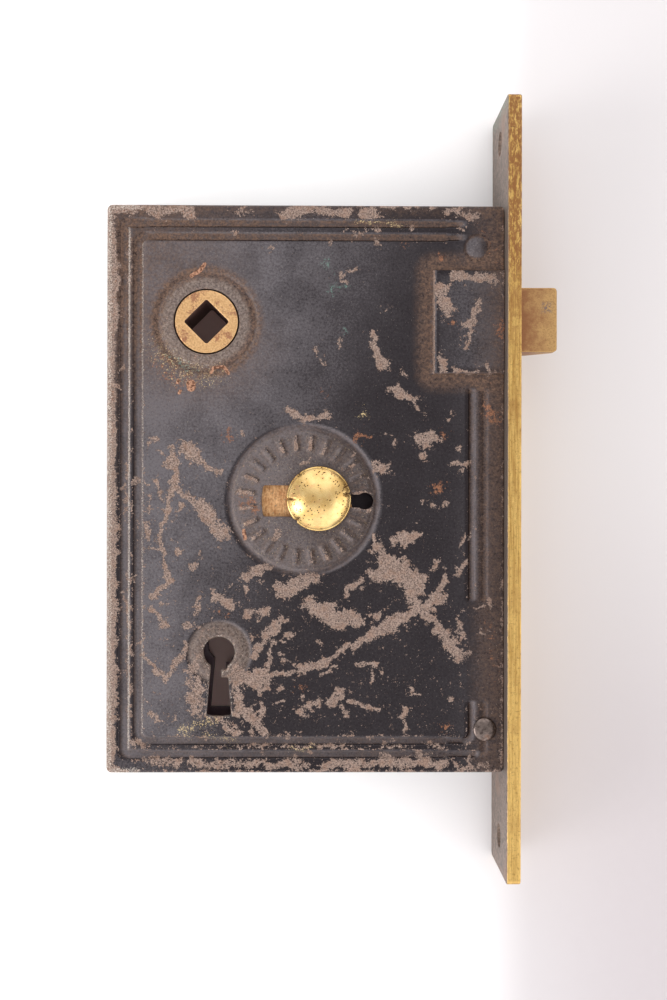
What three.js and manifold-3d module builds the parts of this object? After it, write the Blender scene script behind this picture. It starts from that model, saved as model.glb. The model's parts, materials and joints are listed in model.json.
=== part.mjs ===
// Mortise lock: 5 x 3 1/2 inch cased lock with a spring latch, a thumb slide and a dead bolt.
// Millimetres. The origin is the centre of the faceplate's outer face. +X points out of the door's
// edge, +Y runs along the faceplate towards the latch, and +Z points out of the cover.
// The lock is drawn with its latch out and its dead bolt drawn back.

import * as THREE from 'three';
import { mergeVertices } from 'three/addons/utils/BufferGeometryUtils.js';
import Module from 'manifold-3d';

const wasm = await Module();
wasm.setup();

// ---------------------------------------------------------------- driving dimensions

const inch = 25.4;
const gap = 0.3;                       // clearance wherever two pieces meet
const sheet = 1.6;                     // cover and back plate
const wall = 2;                        // rim of the case
const caseHeight = 5 * inch;
const caseDepth = 3.5 * inch;
const caseThick = 5 / 8 * inch;
const frontLength = 6.875 * inch;
const frontWidth = inch;
const frontThick = inch / 8;
const backset = 2.75 * inch;           // door edge to spindle
const spindleRow = 37.3;               // height of the spindle above the middle
const spindleSquare = 9 / 32 * inch;
const latchRow = 38.4;
const latchReach = 9.2;                // how far the latch stands out of the faceplate
const latchTravel = 9;
const boltTravel = 10.3;
const slideRow = -2.7;                 // height of the thumb slide's slot
const buttonAtRest = -44.7;
const buttonLift = 0.5;                // the button's dome sits this far above the middle of its slot
const keyDrop = 73.9;                  // spindle to keyhole

// ---------------------------------------------------------------- derived places

const rearEdge = -frontThick - caseDepth;
const frontEdge = -frontThick - gap;
const top = caseHeight / 2;
const face = caseThick / 2;            // outer face of the cover
const coverUnder = face - sheet;
const floor = -face + sheet;           // inner face of the back plate
const spindle = { x: -backset, y: spindleRow };
const key = { x: -backset + 2.9, y: spindleRow - keyDrop };
const bolt = { low: -27, high: -5, back: -24, half: 5 };
const latchHead = { height: 14.5, half: 5, back: -14 };
const tail = { low: 3, high: coverUnder - 0.4 };
const coverRivet = { x: -7.5, y: -53.7 };
const medallion = { x: -48.2, y: -2.5, radius: 17.15 };
const ribHeight = 0.3;
const frontScrewRows = [56, -54];
const woodScrewRow = 79.5;
const guideStud = { x: -61.5, y: -9.6 };
const stump = { x: -52.5, y: -19 };
const tumblerPivot = { x: -84.5, y: -18 };
const tumblerLift = 5;                 // degrees, used for the clearance of the stump's window
const lever = { low: -0.6, high: 1.8 };
const yokeHalf = 2.7;
const hornTip = 13;

// ---------------------------------------------------------------- materials

function finish(color, roughness, metalness) {
  return new THREE.MeshStandardMaterial({ color, roughness, metalness });
}

const japan = finish(0x3d393d, 0.45, 0.3);
const brass = finish(0xb08d55, 0.4, 0.9);
const polishedBrass = finish(0xd8b878, 0.2, 1);
const bronze = finish(0x9c7145, 0.6, 0.8);
const iron = finish(0x5a5552, 0.6, 0.7);
const springSteel = finish(0x6f7378, 0.35, 0.9);

// ---------------------------------------------------------------- making and cutting solids

// A closed three.js geometry as a manifold solid.
function solid(geometry) {
  geometry.deleteAttribute('normal');
  geometry.deleteAttribute('uv');
  const merged = mergeVertices(geometry, 1e-4);
  const vertProperties = new Float32Array(merged.attributes.position.array);
  const triVerts = new Uint32Array(merged.index.array);
  return new wasm.Manifold(new wasm.Mesh({ numProp: 3, vertProperties, triVerts }));
}

// A manifold solid back as a three.js geometry.
function geometryOf(body) {
  const mesh = body.getMesh();
  const geometry = new THREE.BufferGeometry();
  geometry.setAttribute('position', new THREE.BufferAttribute(mesh.vertProperties, 3));
  geometry.setIndex(new THREE.BufferAttribute(mesh.triVerts, 1));
  geometry.computeVertexNormals();
  return geometry;
}

function box(x0, x1, y0, y1, z0, z1) {
  const geometry = new THREE.BoxGeometry(x1 - x0, y1 - y0, z1 - z0);
  geometry.translate((x0 + x1) / 2, (y0 + y1) / 2, (z0 + z1) / 2);
  return solid(geometry);
}

// An outline in X and Y, raised from z0 to z1.
function plate(shape, z0, z1, curveSegments = 8) {
  const geometry = new THREE.ExtrudeGeometry(shape, { depth: z1 - z0, bevelEnabled: false, curveSegments });
  geometry.translate(0, 0, z0);
  return solid(geometry);
}

// A round profile of [radius, z] points, turned about the Z axis through (x, y).
function turned(x, y, profile, sides = 24) {
  const points = profile.map(([radius, z]) => new THREE.Vector2(radius, z));
  const geometry = new THREE.LatheGeometry(points, sides);
  geometry.rotateX(Math.PI / 2);
  geometry.translate(x, y, 0);
  return solid(geometry);
}

// A round bar along Z.
function disc(x, y, radius, z0, z1, sides = 24) {
  return turned(x, y, [[0, z0], [radius, z0], [radius, z1], [0, z1]], sides);
}

// A ring along Z.
function ring(x, y, inner, outer, z0, z1, sides = 32) {
  return disc(x, y, outer, z0, z1, sides).subtract(disc(x, y, inner, z0 - 1, z1 + 1, sides));
}

// A round profile of [radius, x] points, turned about the line through (y, z) along X.
function turnedAlongX(y, z, profile, sides = 20) {
  const points = profile.map(([radius, x]) => new THREE.Vector2(radius, x));
  const geometry = new THREE.LatheGeometry(points, sides);
  geometry.rotateZ(-Math.PI / 2);
  geometry.translate(0, y, z);
  return solid(geometry);
}

function rod(y, z, radius, x0, x1, sides = 20) {
  return turnedAlongX(y, z, [[0, x0], [radius, x0], [radius, x1], [0, x1]], sides);
}

function outline(points) {
  return new THREE.Shape(points.map(([x, y]) => new THREE.Vector2(x, y)));
}

// A rectangle whose left and right corners are rounded by different radii.
function roundedRect(x0, x1, y0, y1, left, right = left) {
  const shape = new THREE.Shape();
  shape.moveTo(x0 + left, y0);
  shape.lineTo(x1 - right, y0);
  shape.absarc(x1 - right, y0 + right, right, -Math.PI / 2, 0);
  shape.lineTo(x1, y1 - right);
  shape.absarc(x1 - right, y1 - right, right, 0, Math.PI / 2);
  shape.lineTo(x0 + left, y1);
  shape.absarc(x0 + left, y1 - left, left, Math.PI / 2, Math.PI);
  shape.lineTo(x0, y0 + left);
  shape.absarc(x0 + left, y0 + left, left, Math.PI, 1.5 * Math.PI);
  return shape;
}

// A slot with round ends along X.
function slot(x0, x1, y, halfWidth, z0, z1) {
  const shape = roundedRect(x0 - halfWidth, x1 + halfWidth, y - halfWidth, y + halfWidth, halfWidth * 0.999);
  return plate(shape, z0, z1, 6);
}

const group = new THREE.Group();

function add(name, body, material) {
  const mesh = new THREE.Mesh(geometryOf(body), material);
  mesh.name = name;
  group.add(mesh);
}

// ---------------------------------------------------------------- openings shared by several pieces

// The keyhole: a round eye over a slot that flares downwards, with a ward standing in its neck.
function keyholeCut(z0, z1) {
  const eye = 3.5;
  const length = 14.3;
  const slotShape = outline([[-2.9, -length], [2.9, -length], [1.9, -2.5], [-1.9, -2.5]]);
  const ward = box(0.6, 3, -5.5, -3.9, z0 - 1, z1 + 1);
  return disc(0, 0, eye, z0, z1).add(plate(slotShape, z0, z1)).subtract(ward).translate([key.x, key.y, 0]);
}

function latchHole(x0, x1) {
  const half = latchHead.height / 2 + gap;
  return box(x0, x1, latchRow - half, latchRow + half, -latchHead.half - gap, latchHead.half + gap);
}

function boltHole(x0, x1) {
  return box(x0, x1, bolt.low - gap, bolt.high + gap, -bolt.half - gap, bolt.half + gap);
}

// ---------------------------------------------------------------- case

// Back plate and rim in one tray, with lugs for the screws and the rivet in its front corners.
function caseBack() {
  const rimTop = coverUnder - gap;
  const tray = plate(roundedRect(rearEdge, frontEdge, -top, top, 0.7, 2), -face, rimTop);
  const hollow = box(rearEdge + wall, frontEdge - wall, -top + wall, top - wall, floor, face);
  const lugBack = -14;
  const upperLug = box(lugBack, frontEdge - 1, 50, top - 1, floor - 1, rimTop);
  const lowerLug = box(lugBack, frontEdge - 1, -top + 1, -48.5, floor - 1, rimTop);
  let body = tray.subtract(hollow).add(upperLug).add(lowerLug);
  body = body.subtract(disc(spindle.x, spindle.y, 7.35, -face - 1, floor + 1));
  body = body.subtract(keyholeCut(-face - 1, floor + 1));
  body = body.subtract(latchHole(frontEdge - wall - 1, frontEdge + 1));
  body = body.subtract(boltHole(frontEdge - wall - 1, frontEdge + 1));
  for (const row of frontScrewRows) body = body.subtract(rod(row, 0, 1.5 + gap, -11.5, frontEdge + 1));
  return body.subtract(disc(coverRivet.x, coverRivet.y, 1.2 + gap, 2.2, face));
}

// Two grooves pressed round the edge, left out where the latch pad and the bolt run behind them.
function borderGrooves() {
  const depth = 0.6;
  const width = 2;
  let grooves = null;
  for (const inset of [4.15, 7.15]) {
    const outer = roundedRect(rearEdge + inset - width / 2, -frontThick - inset + width / 2,
      -top + inset - width / 2, top - inset + width / 2, 0.5);
    const inner = roundedRect(rearEdge + inset + width / 2, -frontThick - inset - width / 2,
      -top + inset + width / 2, top - inset - width / 2, 0.4);
    const middle = plate(inner, face - depth - 1, face + 2, 2);
    const loop = plate(outer, face - depth, face + 1, 2).subtract(middle);
    grooves = grooves ? grooves.add(loop) : loop;
  }
  const aroundLatch = box(-13, 0, 22.9, top, 0, face + 3);
  const aroundBolt = box(-13, 0, -48.2, -24.4, 0, face + 3);
  return grooves.subtract(aroundLatch).subtract(aroundBolt);
}

// The medallion's ornament: plain radial ribs on a flat round field.
function medallionRibs() {
  const count = 24;
  let ribs = null;
  for (let i = 0; i < count; i += 1) {
    const angle = (i + 0.5) * 360 / count;
    const rib = box(11.2, 14.4, -0.45, 0.45, face - 0.4, face + ribHeight).rotate([0, 0, angle]);
    ribs = ribs ? ribs.add(rib) : rib;
  }
  return ribs.translate([medallion.x, medallion.y, 0]);
}

// The slide's opening: a wide window, then a narrow slot with a round end for the button's stud.
function slideCut() {
  const z0 = coverUnder - 1;
  const z1 = face + 3;
  const window = plate(roundedRect(-57.6, -39, slideRow - 3.5, slideRow + 3.5, 0.9), z0, z1, 3);
  const narrow = box(-40, -34.4, slideRow - 1.45, slideRow + 1.45, z0, z1);
  const end = disc(-34.4, slideRow, 1.9, z0, z1);
  return window.add(narrow).add(end);
}

// Cover: a pressed sheet with a raised pad over the latch, a spindle boss, a medallion and a key collar.
function caseCover() {
  const bossRadius = 9.5;
  const boss = disc(spindle.x, spindle.y, bossRadius, coverUnder + 0.2, face + 0.5, 40);
  const pad = plate(roundedRect(-19.15, frontEdge, 25.8, 49, 0.6), coverUnder + 0.5, face + 1.2, 2);
  const dimple = turned(-9.3, 54.1,
    [[0, face - 1], [2.6, face - 1], [2.6, face], [1.9, face + 0.55], [0, face + 0.9]]);
  const collar = ring(key.x, key.y, 3, 5.6, coverUnder + 0.5, face + 0.35);
  let body = plate(roundedRect(rearEdge, frontEdge, -top, top, 0.7, 2), coverUnder, face);
  body = body.subtract(borderGrooves());
  body = body.subtract(ring(spindle.x, spindle.y, bossRadius, 11.6, face - 0.6, face + 1, 40));
  const { x, y, radius } = medallion;
  body = body.subtract(ring(x, y, radius - 1.45, radius, face - 0.6, face + 1, 48));
  body = body.subtract(ring(key.x, key.y, 5.6, 7.05, face - 0.4, face + 1));
  body = body.add(boss).add(pad).add(dimple).add(collar).add(medallionRibs());
  body = body.subtract(disc(spindle.x, spindle.y, 7.35, coverUnder - 1, face + 2, 40));
  body = body.subtract(keyholeCut(coverUnder - 1, face + 2)).subtract(slideCut());
  return body.subtract(disc(coverRivet.x, coverRivet.y, 1.2 + gap, coverUnder - 1, face + 1));
}

function faceplate() {
  const body = box(-frontThick, 0, -frontLength / 2, frontLength / 2, -frontWidth / 2, frontWidth / 2);
  const under = -frontThick - 1;
  const neck = -frontThick + 0.9;
  const cut = (row, hole, mouth) => turnedAlongX(row, 0,
    [[0, under], [hole, under], [hole, neck], [mouth, 0.001], [mouth, 1], [0, 1]], 28);
  let drilled = body.subtract(latchHole(-frontThick - 1, 1)).subtract(boltHole(-frontThick - 1, 1));
  for (const side of [1, -1]) drilled = drilled.subtract(cut(side * woodScrewRow, 2.8, 5));
  for (const row of frontScrewRows) drilled = drilled.subtract(cut(row, 1.5 + gap, 3.3 + gap));
  return drilled;
}

// Countersunk screw that holds the faceplate to a lug of the case, with a driver slot in its head.
function frontScrew(row) {
  const flush = -0.1;
  const shank = [[0, -11], [1.2, -11], [1.5, -10.4], [1.5, -frontThick + 0.8], [3.3, flush], [0, flush]];
  return turnedAlongX(row, 0, shank).subtract(box(-0.9, 1, row - 4, row + 4, -0.4, 0.4));
}

function coverRivetBody() {
  const under = face + 0.05;
  const profile = [[0, 2.5], [1.2, 2.5], [1.2, under], [2.7, under], [2.6, under + 0.6], [1.5, under + 1.15],
    [0, under + 1.2]];
  return turned(coverRivet.x, coverRivet.y, profile);
}

// A turned stud that stands on the back plate, with a shoulder up to the given height.
function shoulderStud(at, radius, shoulderRadius, shoulderTop) {
  const foot = floor + gap;
  return turned(at.x, at.y, [[0, foot], [shoulderRadius, foot], [shoulderRadius, shoulderTop],
    [radius, shoulderTop], [radius, tail.high], [0, tail.high]]);
}

// ---------------------------------------------------------------- latch

// Brass latch: flat on the cover's side and bevelled on the other, with eased corners at its tip.
function latchHeadBody() {
  const { height, half, back } = latchHead;
  const profile = outline([[back, -half], [0.4, -half], [3.2, -half + 1.7], [latchReach, half - 2.2],
    [latchReach, half - 0.3], [latchReach - 0.3, half], [back, half]]);
  const geometry = new THREE.ExtrudeGeometry(profile, { depth: height, bevelEnabled: false });
  geometry.rotateX(Math.PI / 2);
  geometry.translate(0, latchRow + height / 2, 0);
  const face2d = roundedRect(back, latchReach, latchRow - height / 2, latchRow + height / 2, 0.2, 0.9);
  const socket = rod(latchRow, 0, latchStem.radius + gap, back - 1, latchStem.front + gap);
  return solid(geometry).intersect(plate(face2d, -half, half, 4)).subtract(socket);
}

const latchStem = { radius: 1.9, front: -11.3, back: -48.5 };
const pinPlace = -45;

function latchStemBody() {
  const { radius, front, back } = latchStem;
  return rod(latchRow, 0, radius, back, front).subtract(disc(pinPlace, latchRow, 0.8 + gap, -5, 5, 12));
}

// The yoke reaches round the hub. Its two toes stand behind the hub's horns.
const yoke = {
  front: spindle.x + latchTravel + 14.85,
  bar: 3.3,
  armInner: 14.8,
  armOuter: 18.2,
  toeInner: 7.7,
  toeFace: spindle.x - 2.8,
  toe: 3.4,
};

function latchYoke() {
  const { front, bar, armInner, armOuter, toeInner, toeFace, toe } = yoke;
  const y = spindle.y;
  const back = toeFace - toe;
  let body = box(front - bar, front, y - armOuter, y + armOuter, -yokeHalf, yokeHalf);
  for (const side of [1, -1]) {
    const [armLow, armHigh] = [y + side * armInner, y + side * armOuter].sort((a, b) => a - b);
    const [toeLow, toeHigh] = [y + side * toeInner, y + side * armOuter].sort((a, b) => a - b);
    body = body.add(box(back, front, armLow, armHigh, -yokeHalf, yokeHalf));
    body = body.add(box(back, toeFace, toeLow, toeHigh, -yokeHalf, yokeHalf));
  }
  body = body.add(box(front - bar, -41.5, latchRow - 4.4, latchRow + 4.4, -4, 4));
  body = body.subtract(rod(latchRow, 0, latchStem.radius + gap, front - bar - 1, -41));
  return body.subtract(disc(pinPlace, latchRow, 0.8 + gap, -6, 6, 12));
}

const guide = { back: -38, front: -35 };

// A bent bracket: the stem slides through its upright, and the spring pushes off it.
function latchGuide() {
  const foot = floor + gap;
  const upright = box(guide.back, guide.front, latchRow - 7, latchRow + 7, foot, tail.high);
  const base = box(guide.back, -29, latchRow - 7, latchRow + 7, foot, foot + 1);
  const bore = rod(latchRow, 0, latchStem.radius + gap, guide.back - 1, guide.front + 1);
  return upright.add(base).subtract(bore);
}

function springWasher() {
  const back = latchHead.back - gap;
  const bore = rod(latchRow, 0, latchStem.radius + gap, back - 2, back + 1);
  return rod(latchRow, 0, 5, back - 1, back).subtract(bore);
}

// The latch spring's wire, a helix along X round the stem.
class Helix extends THREE.Curve {
  constructor(start, end, radius, turns) {
    super();
    Object.assign(this, { start, end, radius, turns });
  }

  getPoint(t, target = new THREE.Vector3()) {
    const angle = t * this.turns * 2 * Math.PI;
    const x = this.start + (this.end - this.start) * t;
    return target.set(x, latchRow + this.radius * Math.cos(angle), this.radius * Math.sin(angle));
  }
}

function coilSpring() {
  const wire = 0.5;
  const path = new Helix(guide.front + gap + wire, latchHead.back - 1 - 2 * gap - wire, 3.6, 7);
  const section = new THREE.Shape();
  section.absarc(0, 0, wire, 0, 2 * Math.PI);
  const settings = { steps: 98, curveSegments: 6, extrudePath: path, bevelEnabled: false };
  return solid(new THREE.ExtrudeGeometry(section, settings));
}

// ---------------------------------------------------------------- hub

// Brass hub: a square hole standing on its corner, a collar under each plate, and two horns.
function hubBody() {
  const barrel = 7.05;
  const collar = 8.6;
  let body = turned(0, 0, [[0, -face], [barrel, -face], [barrel, floor + gap], [collar, floor + gap],
    [collar, -3.1], [barrel, -3.1], [barrel, 3.1], [collar, 3.1], [collar, coverUnder - gap],
    [barrel, coverUnder - gap], [barrel, face + 0.25], [0, face + 0.25]], 40);
  const horn = roundedRect(-2, 2, -hornTip, hornTip, 0.6);
  body = body.add(plate(horn, -yokeHalf, yokeHalf, 3));
  const half = spindleSquare / 2;
  const clip = 0.3;
  const near = half - clip;
  const square = outline([[-half, -near], [-near, -half], [near, -half], [half, -near],
    [half, near], [near, half], [-near, half], [-half, near]]);
  const hole = plate(square, -face - 1, face + 2).rotate([0, 0, 45]);
  return body.subtract(hole).translate([spindle.x, spindle.y, 0]);
}

// ---------------------------------------------------------------- dead bolt

const lapFront = -frontThick - wall - boltTravel - 1;
const tailRivetPlaces = [{ x: lapFront - 3.5, y: -10 }, { x: lapFront - 3.5, y: -22 }];

function deadboltHead() {
  const { low, high, back, half } = bolt;
  const block = plate(roundedRect(back, -gap, low, high, 0.3, 0.5), -half, half, 2);
  let body = block.subtract(box(back - 1, lapFront, low - 1, high + 1, tail.low - gap, half + 1));
  for (const { x, y } of tailRivetPlaces) {
    body = body.subtract(disc(x, y, 1.3 + gap, -half - 1, half + 1, 16));
  }
  return body;
}

// The tail is a plate that shows through the slide window and carries the notch that the key pushes.
// Its arm behind the window ends just past the button's stud, so the narrow end of the slot is dark.
function deadboltTail() {
  const armFront = buttonAtRest + 5.1;
  const shape = outline([[lapFront - gap, -26], [lapFront - gap, -6], [armFront + 3.1, -6], [armFront, 3.4],
    [-80, 3.4], [-80, -24], [-75.4, -24], [-75.4, -21.4], [-71, -21.4], [-71, -24], [-30, -24], [-27, -26]]);
  let body = plate(shape, tail.low, tail.high);
  const z0 = tail.low - 1;
  const z1 = tail.high + 1;
  body = body.subtract(slot(guideStud.x - boltTravel, guideStud.x, guideStud.y, 1.5 + gap, z0, z1));
  body = body.subtract(disc(stump.x, stump.y, 1.5 + gap, z0, z1, 16));
  body = body.subtract(disc(buttonAtRest, slideRow, 1.15 + gap, z0, z1, 16));
  for (const { x, y } of tailRivetPlaces) body = body.subtract(disc(x, y, 1.3 + gap, z0, z1, 16));
  return body;
}

function tailRivet({ x, y }) {
  return disc(x, y, 1.3, -bolt.half, tail.high, 16);
}

function buttonStud() {
  const under = tail.low - 2 * gap - 0.8;
  return turned(buttonAtRest, slideRow, [[0, under - 0.9], [1.6, under - 0.9], [1.9, under], [1.15, under],
    [1.15, face + 1.8], [0, face + 1.8]], 16);
}

function buttonWasher() {
  return ring(buttonAtRest, slideRow, 1.15 + gap, 3, tail.low - gap - 0.8, tail.low - gap, 24);
}

// Domed thumb button, with a thin rim and a blind socket for its stud.
function slideButton() {
  const radius = 7.25;
  const base = face + ribHeight + 0.25;
  const rim = 0.7;
  const rise = 3.1;
  const lip = radius - 0.25;
  const bend = (lip * lip + rise * rise) / (2 * rise);
  const sweep = Math.asin(lip / bend);
  const steps = 9;
  const profile = [[0, base], [radius - 0.35, base], [radius, base + 0.3], [radius, base + rim]];
  for (let i = 0; i <= steps; i += 1) {
    const angle = sweep * (1 - i / steps);
    profile.push([bend * Math.sin(angle), base + rim + rise - bend * (1 - Math.cos(angle))]);
  }
  profile[profile.length - 1][0] = 0;
  const dome = turned(buttonAtRest, slideRow + buttonLift, profile, 40);
  return dome.subtract(disc(buttonAtRest, slideRow, 1.15 + gap, base - 1, face + 2.1, 16));
}

// ---------------------------------------------------------------- tumbler

// Lever on the post. Its window leaves room for the bolt's stump in every position of both.
function tumblerLever() {
  const { low, high } = lever;
  const far = stump.x + boltTravel + 1.5 + 2 * gap;
  const rise = (far - tumblerPivot.x) * Math.tan(tumblerLift * Math.PI / 180);
  const left = stump.x - 2.3;
  const bottom = stump.y - 1.5 - rise - gap;
  const roof = stump.y + 1.5 + gap;
  const border = 2.6;
  const arm = outline([[tumblerPivot.x, -22], [-74, -22.4], [-69, -23.6], [-65, -23.6], [-58, -22],
    [-53, -24], [-53, -16], [tumblerPivot.x, -14.6]]);
  let body = plate(arm, low, high);
  body = body.add(disc(tumblerPivot.x, tumblerPivot.y, 4, low, high));
  const frame = roundedRect(left - border, far + border, bottom - border, roof + border, 1);
  body = body.add(plate(frame, low, high, 3));
  body = body.subtract(box(left, far, bottom, roof, low - 1, high + 1));
  return body.subtract(disc(tumblerPivot.x, tumblerPivot.y, 1.7 + gap, low - 1, high + 1));
}

// Flat spring that rides on the lever and bears up under the guide stud.
function tumblerSpring() {
  const thick = 0.5;
  const route = new THREE.CatmullRomCurve3([[-82, -13.9], [-77, -14.2], [-71, -13.4], [-65.5, -12.2]]
    .map(([x, y]) => new THREE.Vector3(x, y, 0)));
  const upper = route.getPoints(10).map((p) => [p.x, p.y + thick]);
  const lower = route.getPoints(10).map((p) => [p.x, p.y]).reverse();
  return plate(outline([...lower, ...upper]), lever.low + 0.4, lever.high - 0.4);
}

// ---------------------------------------------------------------- assembly

add('case_back', caseBack(), japan);
add('case_cover', caseCover(), japan);
add('faceplate', faceplate(), brass);
add('front_screw_upper', frontScrew(frontScrewRows[0]), brass);
add('front_screw_lower', frontScrew(frontScrewRows[1]), brass);
add('cover_rivet', coverRivetBody(), iron);
add('bolt_guide_stud', shoulderStud(guideStud, 1.5, 2.6, -1.2), iron);
add('tumbler_post', shoulderStud(tumblerPivot, 1.7, 3.2, lever.low - gap), iron);
add('latch_guide', latchGuide(), iron);
add('latch_spring', coilSpring(), springSteel);

add('latch_head', latchHeadBody(), brass);
add('latch_stem', latchStemBody(), iron);
add('latch_yoke', latchYoke(), bronze);
add('yoke_pin', disc(pinPlace, latchRow, 0.8, -4.6, 4.6, 12), iron);
add('spring_washer', springWasher(), brass);

add('hub', hubBody(), brass);

add('deadbolt_head', deadboltHead(), brass);
add('deadbolt_tail', deadboltTail(), bronze);
add('tail_rivet_upper', tailRivet(tailRivetPlaces[0]), brass);
add('tail_rivet_lower', tailRivet(tailRivetPlaces[1]), brass);
add('bolt_stump', disc(stump.x, stump.y, 1.5, -1, tail.high, 16), iron);
add('button_stud', buttonStud(), brass);
add('button_washer', buttonWasher(), brass);
add('slide_button', slideButton(), polishedBrass);

add('tumbler_lever', tumblerLever(), brass);
add('tumbler_spring', tumblerSpring(), springSteel);

export default group;
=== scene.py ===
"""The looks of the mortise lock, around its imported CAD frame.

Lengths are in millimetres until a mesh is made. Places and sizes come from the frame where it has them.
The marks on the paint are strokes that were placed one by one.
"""

import json
import math

import bmesh
import bpy
import numpy as np
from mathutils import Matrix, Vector, noise


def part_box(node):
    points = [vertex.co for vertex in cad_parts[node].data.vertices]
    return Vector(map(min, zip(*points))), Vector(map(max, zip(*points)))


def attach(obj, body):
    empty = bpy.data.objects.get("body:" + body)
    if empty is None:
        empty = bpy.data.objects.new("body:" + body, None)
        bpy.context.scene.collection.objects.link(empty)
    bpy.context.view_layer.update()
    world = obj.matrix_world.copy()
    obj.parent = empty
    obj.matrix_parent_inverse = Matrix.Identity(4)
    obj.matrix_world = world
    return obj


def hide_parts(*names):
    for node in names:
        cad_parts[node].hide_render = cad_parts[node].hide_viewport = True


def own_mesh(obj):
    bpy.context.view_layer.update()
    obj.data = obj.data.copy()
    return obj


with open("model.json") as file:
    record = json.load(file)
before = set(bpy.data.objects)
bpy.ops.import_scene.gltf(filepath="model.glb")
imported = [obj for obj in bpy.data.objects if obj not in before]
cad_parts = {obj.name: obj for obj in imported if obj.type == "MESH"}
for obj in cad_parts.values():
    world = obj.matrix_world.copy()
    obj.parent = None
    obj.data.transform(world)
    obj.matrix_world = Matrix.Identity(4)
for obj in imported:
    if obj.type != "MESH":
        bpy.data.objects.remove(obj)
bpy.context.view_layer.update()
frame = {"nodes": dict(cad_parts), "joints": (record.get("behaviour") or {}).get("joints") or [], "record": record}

MM = 0.001


# ---------------------------------------------------------------- places and sizes

def box_mm(node):
    low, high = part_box(node)
    return np.array(low) / MM, np.array(high) / MM


def middle(node):
    low, high = box_mm(node)
    return (low + high) / 2


def joint_place(name):
    joint = next(j for j in frame["joints"] if j["name"] == name)
    return np.array(joint["pos_m"]) / MM


def opening_middle(name):
    openings = frame["record"]["physics"]["openings"]
    low, high = next(o["box_m"] for o in openings if o["name"] == name)
    return (np.array(low) + np.array(high)) / 2 / MM


SHEET = 1.6                      # thickness of the cover and the back plate
case_low = box_mm("case_back")[0]
cover_low, cover_high = box_mm("case_cover")
front_low, front_high = box_mm("faceplate")
REAR = cover_low[0]
FRONT = cover_high[0]
LAP = 0.2                        # how far the visual cover reaches into the CAD's gap to the faceplate
TOP = cover_high[1]
UNDER = cover_low[2]
FACE = UNDER + SHEET             # outer face of the cover
CORNER = 1.2                     # the cover's corner radius
spindle = joint_place("hub_turn")
key = opening_middle("keyhole_eye")
stud = middle("button_stud")
rivet = middle("cover_rivet")
HUB_HOLE = 7.35                  # radii of the hole round the hub and of the boss round that
HUB_BOSS = 9.8
COLLAR = 4.7                     # radius of the raised ring round the keyhole
MEDALLION = np.array([stud[0] - 3.5, stud[1] + 0.2])
RING = 16.35                     # radius of the medallion's ring groove
RIBS = {"count": 24, "height": 0.5, "inner": 11.0, "outer": 14.5}
DIMPLE = np.array([rivet[0] - 1.8, TOP - 9.4])
PAD = {"left": FRONT - 15.7, "low": 25.8, "high": 49.0, "rise": 1.2}
BORDER_INSETS = (4.15, 7.15)     # the two border grooves, from the cover's edge
GROOVE = {"half": 1.1, "depth": 0.55}
WALL = 0.62                      # width of a groove's sloping wall
KEYHOLE = {"eye": 3.5, "half": 1.85, "flare": 0.085, "length": 14.3}
# The thumb slide's window, neck and round end: places along X, half heights and a radius.
SLOT = {"left": -57.5, "half": 3.5, "neck": -39.0, "neck_half": 1.45, "end": -34.4, "end_radius": 1.9}
FRONT_SCREWS = ("front_screw_upper", "front_screw_lower")
WOOD_SCREW = 79.5                # the faceplate's wood screw holes, from its middle
WOOD_HOLE = 2.8                  # radii of its wood screw holes and of the holes for the case's screws
CASE_HOLE = 1.8
WOOD_SINK = {"radius": 5.0, "depth": 2.3}
CASE_SINK = {"radius": 3.6, "depth": 1.8}
PLATE_CORNER = 1.0
ON_EDGE = -1e-4                  # a point so little inside a hole still counts as on its edge


# ---------------------------------------------------------------- smooth steps and noise on arrays

def ramp(value, start, end):
    """0 before start, 1 after end, smooth between them."""
    t = np.clip((value - start) / (end - start), 0, 1)
    return t * t * (3 - 2 * t)


def fade(value, start, end):
    """1 before start, 0 after end, smooth between them."""
    return 1 - ramp(value, start, end)


def rounding(distance, radius):
    """How far a rounded edge drops at a distance inside it."""
    inward = np.clip(radius - distance, 0, radius)
    return radius - np.sqrt(radius**2 - inward**2)


def value_noise(x, y, cell, seed):
    """Smooth noise from 0 to 1 on a lattice of the given cell."""
    table = np.random.default_rng(seed).random((256, 256))
    u, v = x / cell, y / cell
    i, j = np.floor(u).astype(int), np.floor(v).astype(int)
    s, t = ramp(u - i, 0, 1), ramp(v - j, 0, 1)

    def corner(di, dj):
        return table[(i + di) % 256, (j + dj) % 256]

    low = corner(0, 0) * (1 - s) + corner(1, 0) * s
    high = corner(0, 1) * (1 - s) + corner(1, 1) * s
    return low * (1 - t) + high * t


def rough_noise(x, y, cell, seed, octaves=4):
    """Several octaves of value_noise, from -1 to 1."""
    total, weight = 0, 0
    for k in range(octaves):
        total = total + value_noise(x, y, cell / 2**k, seed + k) / 2**k
        weight += 1 / 2**k
    return 2 * total / weight - 1


# ---------------------------------------------------------------- distances to outlines and holes

def rect_inside(x, y, left, right, low, high, radius=0.0):
    """Distance into a rectangle with rounded corners."""
    dx = np.abs(x - (left + right) / 2) - (right - left) / 2 + radius
    dy = np.abs(y - (low + high) / 2) - (high - low) / 2 + radius
    outside = np.hypot(np.maximum(dx, 0), np.maximum(dy, 0))
    return radius - outside - np.minimum(np.maximum(dx, dy), 0)


def distance_from(spot, x, y):
    return np.hypot(x - spot[0], y - spot[1])


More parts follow.
